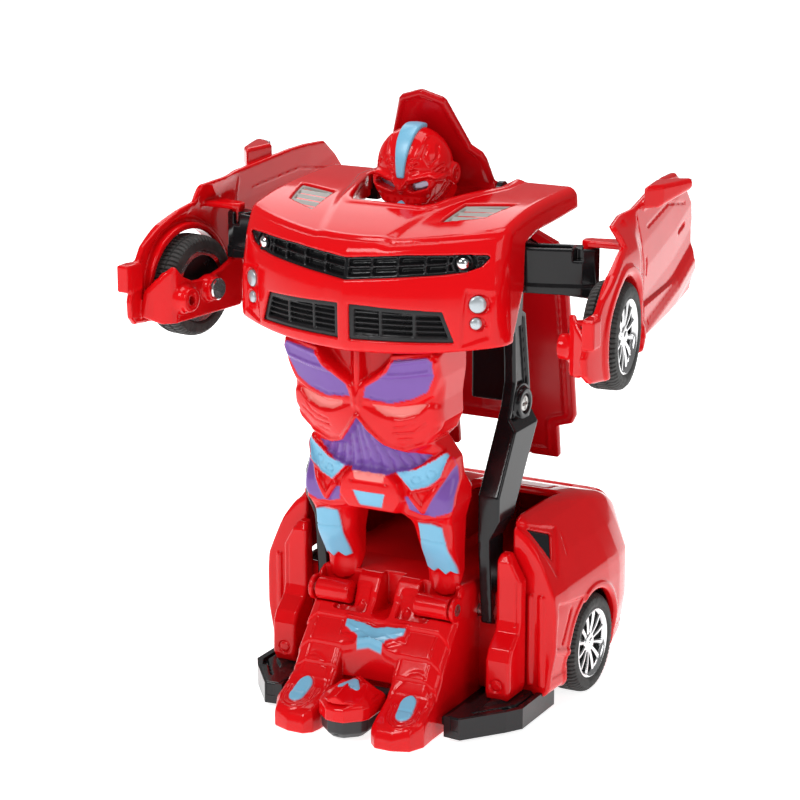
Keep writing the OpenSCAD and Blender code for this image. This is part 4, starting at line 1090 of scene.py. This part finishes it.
def fender(x, y, z):
    u, v = wing_frame(x, y)
    outline = polygon(u, z, DOOR)
    radius = disc(u, z, 0, FRONT_AXLE_Z, 0)
    crease = np.interp(u, [14, 30, 48, 62, 70], [97.6, 99.6, 102, 105.4, 107.6])
    above = z - crease
    door = np.where(above > 0, np.interp(above, [0, 1.6, 5, 12, 18, 26], [-1.0, -2.0, -2.2, -1.9, -2.4, -3.9]),
                    np.interp(above, [-9, -5, -2, 0], [-2.0, -0.8, -0.35, -1.0]))
    wing = -0.7 - 0.0105 * np.clip(-u - 6, 0, 30) ** 2 - 0.035 * np.clip(z - 112.5, 0, 12) ** 2
    mix = np.clip((u - 11) / 8, 0, 1)
    mix = mix * mix * (3 - 2 * mix)
    out = wing * (1 - mix) + door * mix
    out += 0.5 * step(abs(radius - 15.2) - 0.9, 0.4)
    out -= 0.45 * step(stroke(u, z, (19.6, 98), (18.4, 123), 0.1), 0.3)
    out -= 0.45 * step(stroke(u, z, (21.4, 109), (21.8, 112.4), 0.3), 0.35)
    out -= 0.45 * step(path(u, z, [(25, 119.4), (44, 121.4), (58, 119)], 0.1), 0.4)
    out -= 0.5 * step(stroke(u, z, (52, 113), (57.4, 113.8), 0.5), 0.4)
    skin = both(band(v, out - 1.7, out), outline, 0.6)
    flange = both(both(radius - 15.2, v + 0.9), both(-4.6 - v, outline, 0.3), 0.3)
    lip = both(both(outline, -(outline + 1.6), 0.3), band(v, -3.2, out - 0.5), 0.3)
    lip = both(lip, u - 2)
    body = either(either(skin, flange, 0.3), lip, 0.4)
    body = less(body, both(radius - 13.6, -12 - v), 0.4)
    sill = both(polygon(u, z, DOOR_SILL), band(v, -3.0, -1.2), 0.4)
    body = either(body, sill, 0.3)
    bowl = np.interp(u, [-20.4, -18.4, -16.4, -14.8, -13.6, -12.2], [-2.4, -3.6, -5.8, -8, -9.2, -9.9])
    liner = both(polygon(u, z, LINER), (abs(v - bowl) - 0.85) * 0.66, 0.4)
    bay = both(polygon(u, z, LINER_BACK), band(v, -10.4, -2), 0.4)
    bay = either(bay, both(polygon(u, z, LINER_FOOT), band(v, -10.6, -9.1), 0.3))
    liner = either(liner, bay, 0.6)
    hub = both(disc(u, z, 0, FRONT_AXLE_Z, 2.8) - 0.06 * (v + 13), band(v, -13, -9.1), 0.3)
    post = both(disc(u, z, *POST, 2.9) - 0.06 * (v + 13), band(v, -13.5, -9.1), 0.4)
    liner = either(either(liner, hub, 0.8), post, 1.0)
    liner = less(liner, both(disc(u, z, *POST, 1.2), v + 9.0), 0.25)
    body = either(body, liner)
    lug = both(polygon(v, u, LUG), band(z, 101.2, 107.8), 0.5)
    mirror = both(polygon(v, u, MIRROR), both(z - 129, 123.6 + 0.55 * np.clip(v + 1, 0, 9) - z), 0.9)
    elbow = both(polygon(v, u, ELBOW), band(z, 117.4, 118.9), 0.4)
    pin = both(disc(v, u, -12.3, 9.4, 1.47), band(z, 105.2, 117.8), 0.3)
    body = either(either(body, lug, 0.6), mirror, 0.7)
    body = either(body, elbow, 0.5)
    body = either(body, pin)
    return both(body, -(both(disc(u, z, 0, FRONT_AXLE_Z, 1.6), v)))


left = field_piece("fender_and_door_left", fender, (43, -51, 91.5), (66, 49, 130.6), "fender_left", red,
                   ["fender_left"], GRID)
mirrored_piece(left, "fender_and_door_right", "fender_right", ["fender_right"])


def mirror_glass(x, y, z):
    u, v = wing_frame(x, y)
    return both(polygon(v, u, [(0.6, 38.0), (3.9, 39.2), (3.8, 39.9), (0.5, 38.7)]), band(z, 126.3, 128.6),
                0.25)


left = field_piece("mirror_face_left", mirror_glass, (53, 15, 125), (66, 25, 130), "fender_left", silver,
                   ["mirror_glass_left"], FINE * 0.8)
mirrored_piece(left, "mirror_face_right", "fender_right", ["mirror_glass_right"])

BEAM = [(25.4, -20), (28.4, -19.8), (38.6, -17), (46.4, -14.2), (48.9, -12.6), (49.5, -10.9), (48.6, -8.8),
        (46.9, -8), (45.6, -7.9), (27, -13.8), (24.4, -15.6), (24.2, -18)]
POCKET = [(30.4, -17.8), (37.8, -15.8), (43.4, -13.8), (42.4, -10.4), (30.4, -14)]


def arm_beam(x, y, z):
    plan = polygon(x, y, BEAM)
    low = np.interp(x, [24, 34, 42, 50], [105.2, 106.4, 106.2, 105.2])
    ledge = 0.5 * step(z - 108.4, 0.25)
    body = both(plan + 0.25 - ledge * 0.5, band(z, low, 117), 0.5)
    body = less(body, both(polygon(x, y, POCKET), 107.4 - z), 0.4)
    body = less(body, both(both(band(x, 44.2, 46.2), y + 12.4), 114.2 - z), 0.3)
    body = less(body, disc(x, y, *SHOULDER, 1.55))
    return less(body, disc(x, y, *ELBOW_PIN, 1.55))


left = field_piece("arm_beam_moulding_left", arm_beam, (23.5, -21, 104.6), (50.4, -7, 117.6), "arm_left",
                   gloss_black, ["arm_beam_left"], FINE)
mirrored_piece(left, "arm_beam_moulding_right", "arm_right", ["arm_beam_right"])

# ---- lift bars
BAR = [(-13, 22.6), (-10, 21.4), (-7, 22.6), (-6.6, 45), (-5.6, 50), (8.2, 71), (7.4, 79), (4.6, 96),
       (-6, 101.9), (-10, 102.4), (-13, 100.6), (-13.2, 96.4), (-2, 92), (-1.4, 80), (-3.2, 74), (-15, 55),
       (-15.2, 44)]


def lift_bar(x, y, z):
    outline = either(polygon(y, z, BAR), disc(y, z, *KNEE, 5.4))
    outer_face = np.interp(z, [44, 49, 69, 71.5], [23.8, 26.3, 26.3, 23.8])
    body = both(outline, both(20.8 - x, (x - outer_face) * 0.75), 0.5)
    pocket = both(both(outline + 1.5, -disc(y, z, *KNEE, 5.0)), outer_face - 0.9 - x)
    pocket = both(pocket, -disc(y, z, -10, 99, 3.6))
    body = less(body, both(pocket, 71 - z), 0.3)
    body = either(body, both(disc(y, z, *KNEE, 3.9), band(x, 22, 24.9), 0.5), 0.3)
    cross = both(both(band(x, 10, 21.4), band(y, 3.2, 4.8)), band(z, 73.6, 91), 0.4)
    body = either(body, cross)
    for centre, r in ((ARM_FOOT, 1.98), (ARM_HEAD, 1.55)):
        body = both(body, -disc(y, z, *centre, r))
    return less(body, both(disc(y, z, *KNEE, 2.3), 24.1 - x), 0.25)


left = field_piece("lift_bar_moulding_left", lift_bar, (9.5, -16, 20.5), (27.2, 9, 103.2), "lift_arms",
                   gloss_black, ["lift_arm_left"])
mirrored_piece(left, "lift_bar_moulding_right", "lift_arms", ["lift_arm_right"])


def screw_head(x, y, z):
    r = disc(y, z, *KNEE, 0)
    body = both(r - 2.05, band(x, 23.6, 24.8 - 0.06 * r * r), 0.3)
    cross = either(both(band(y, 2.4, 3.0), band(z, 72.6, 75.4)), both(band(z, 73.7, 74.3), band(y, 1.3, 4.1)))
    return less(body, both(cross, 24.1 - x), 0.1)


left = field_piece("knee_screw_head_left", screw_head, (23, 0, 71), (25.4, 5.4, 77), "lift_arms", steel,
                   ["knee_screws"], FINE * 0.6)
mirrored_piece(left, "knee_screw_head_right", "lift_arms")

# ---- wheels
TREAD_BLOCKS = 64
SPOKES = 12
# profiles in mm: along the axle from the wheel's outer face, and radius
TYRE = [(-7.9, 8.75), (-8.45, 9.2), (-8.5, 10.2), (-8.2, 11.4), (-7.5, 12.1), (-6.7, 12.35), (-6.0, 12.4),
        (-5.8, 12.0), (-5.5, 12.0), (-5.3, 12.4), (-3.2, 12.4), (-3.0, 12.0), (-2.7, 12.0), (-2.5, 12.4),
        (-1.8, 12.35), (-1.0, 12.1), (-0.3, 11.4), (-0.02, 10.2), (-0.1, 9.4), (-0.5, 8.75)]
RIM_RING = [(-7.9, 8.7), (-7.9, 7.6), (-4.4, 7.6), (-1.6, 7.5), (-0.9, 7.7), (-0.45, 8.1), (-0.3, 8.5),
            (-0.45, 8.72)]
HUB = [(-5.4, 2.6), (-1.7, 2.6), (-1.2, 2.3), (-0.95, 1.7), (-0.95, 1.3), (-0.7, 1.05), (-0.62, 0.5),
       (-0.62, 0.01)]
STUB_AXLE = [(-13.75, 0.01), (-13.75, 2.4), (-13.5, 2.65), (-13.0, 2.65), (-13.0, 1.45), (-5.4, 1.45)]
DISH = [(-6.2, 1.6), (-6.2, 7.65), (-4.4, 7.65), (-3.9, 7.5), (-3.7, 5), (-3.7, 2.5), (-3.7, 1.6)]


def turned_ring(profile, sides):
    """A shape turned about x with a hole right through it."""
    verts, faces = lathe(profile, sides=sides)
    last = (len(profile) - 1) * sides
    wall = [[last + i, last + (i + 1) % sides, (i + 1) % sides, i] for i in range(sides)]
    return verts, faces[:-2] + wall


def tyre_mesh():
    """Ribbed tyre: every fourth column of the tread is sunk."""
    sides = TREAD_BLOCKS * 4
    verts, faces = turned_ring(TYRE, sides)
    for k, (_, radius) in enumerate(TYRE):
        if radius > 11.2:
            f = (radius - 0.4) / radius
            for i in range(k * sides, (k + 1) * sides, 4):
                x, a, b = verts[i]
                verts[i] = (x, a * f, b * f)
    return verts, faces


def place_wheel(shape, origin, out):
    """Turns a shape drawn about x so that +x points along out."""
    verts, faces = shape
    out = Vector(out).normalized()
    up = Vector((0, 0, 1))
    fore = up.cross(out)
    return [([tuple(Vector(origin) + out * x + fore * a + up * b) for x, a, b in verts], faces)]


def bar_mesh(start, end, w0, w1, x0, x1, thick, angle):
    """A tapered spoke from radius start to radius end at an angle, its face rising from x0 to x1."""
    verts = []
    c, s = math.cos(angle), math.sin(angle)
    for r, w, x in ((start, w0, x0), ((start + end) / 2, (w0 + w1) / 2, (x0 + x1) / 2 + 0.15), (end, w1, x1)):
        for side, drop in ((-0.5, thick), (-0.5, 0.25), (-0.22, 0), (0.22, 0), (0.5, 0.25), (0.5, thick)):
            t = side * w
            verts.append((x - drop, r * c - t * s, r * s + t * c))
    faces = []
    for k in (0, 6):
        faces += [[k + i, k + (i + 1) % 6, k + 6 + (i + 1) % 6, k + 6 + i] for i in range(6)]
    return verts, faces + [[5, 4, 3, 2, 1, 0], [12, 13, 14, 15, 16, 17]]


def rim_mesh(axle_end):
    parts = [turned_ring(RIM_RING, 96), lathe(HUB, sides=48)]
    for i in range(SPOKES):
        parts.append(bar_mesh(1.9, 7.9, 0.75, 1.35, -1.35, -0.95, 1.6, 2 * math.pi * (i + 0.5) / SPOKES))
    if axle_end:
        parts.append(lathe(STUB_AXLE, sides=32))
    return join(*parts)


for s, side in ((1, "left"), (-1, "right")):
    for end, origin, out, body, axle_end in (
        ("rear", (40 * s, *REAR_AXLE), (s, 0, 0), "rear_wheels", False),
        ("front", (WHEEL_FACE[0] * s, WHEEL_FACE[1], FRONT_AXLE_Z), (s * math.cos(YAW), math.sin(YAW), 0),
         "wheel_" + side, True),
    ):
        tyre, rim, dish = (place_wheel(shape, origin, out) for shape in
                           (tyre_mesh(), rim_mesh(axle_end), lathe(DISH, sides=64)))
        turned(f"{end}_tyre_ribbed_{side}", tyre, body, rubber, [f"{end}_tyre_{side}"], 28)
        turned(f"{end}_rim_spoked_{side}", rim, body, chrome, [f"{end}_rim_{side}"], 30)
        turned(f"{end}_rim_dish_{side}", dish, body, black, (), 30)

# ---- camera, light and floor
LENS, SENSOR = 123.3, 36
CAMERA_FROM = point(292.46, -573.85, 248.21)
CAMERA_AT = point(-7.9, 0, 71.3)
camera_data = bpy.data.cameras.new("camera")
camera_data.lens = LENS
camera_data.sensor_width = SENSOR
camera_data.clip_start = 0.01
camera_data.clip_end = 20
camera = bpy.data.objects.new("camera", camera_data)
camera.location = CAMERA_FROM
camera.rotation_euler = (CAMERA_AT - CAMERA_FROM).to_track_quat("-Z", "Y").to_euler()
bpy.context.scene.collection.objects.link(camera)
bpy.context.scene.camera = camera


def area_light(name, place, target, size, power):
    data = bpy.data.lights.new(name, "AREA")
    data.size = size
    data.energy = power
    obj = bpy.data.objects.new(name, data)
    obj.location = place
    obj.rotation_euler = (Vector(target) - Vector(place)).to_track_quat("-Z", "Y").to_euler()
    bpy.context.scene.collection.objects.link(obj)


area_light("key", (-0.25, -0.75, 0.75), (0, 0, 0.08), 0.36, 4.6)
area_light("fill", (0.85, -0.35, 0.45), (0, 0, 0.08), 0.45, 1.6)
area_light("top", (0.0, 0.05, 1.0), (0, 0, 0), 0.6, 4.6)
area_light("back", (-0.45, 0.6, 0.72), (0, 0, 0.11), 0.6, 2.6)

world = bpy.data.worlds.new("studio")
bpy.context.scene.world = world
world.use_nodes = True
world.node_tree.nodes["Background"].inputs["Color"].default_value = (1, 1, 1, 1)
world.node_tree.nodes["Background"].inputs["Strength"].default_value = 0.2

floor_mat, floor_tree, floor_bsdf = nodes_of("floor")
floor_bsdf.inputs["Base Color"].default_value = (0.93, 0.93, 0.93, 1)
floor_bsdf.inputs["Roughness"].default_value = 0.8
floor_bsdf.inputs["Emission Color"].default_value = (1, 1, 1, 1)
floor_bsdf.inputs["Emission Strength"].default_value = 0.85
bpy.ops.mesh.primitive_plane_add(size=8, location=(0, 0, -0.00005))
floor = bpy.context.object
floor.name = "floor"
floor.data.materials.append(floor_mat)
bpy.context.scene.view_settings.view_transform = "Standard"
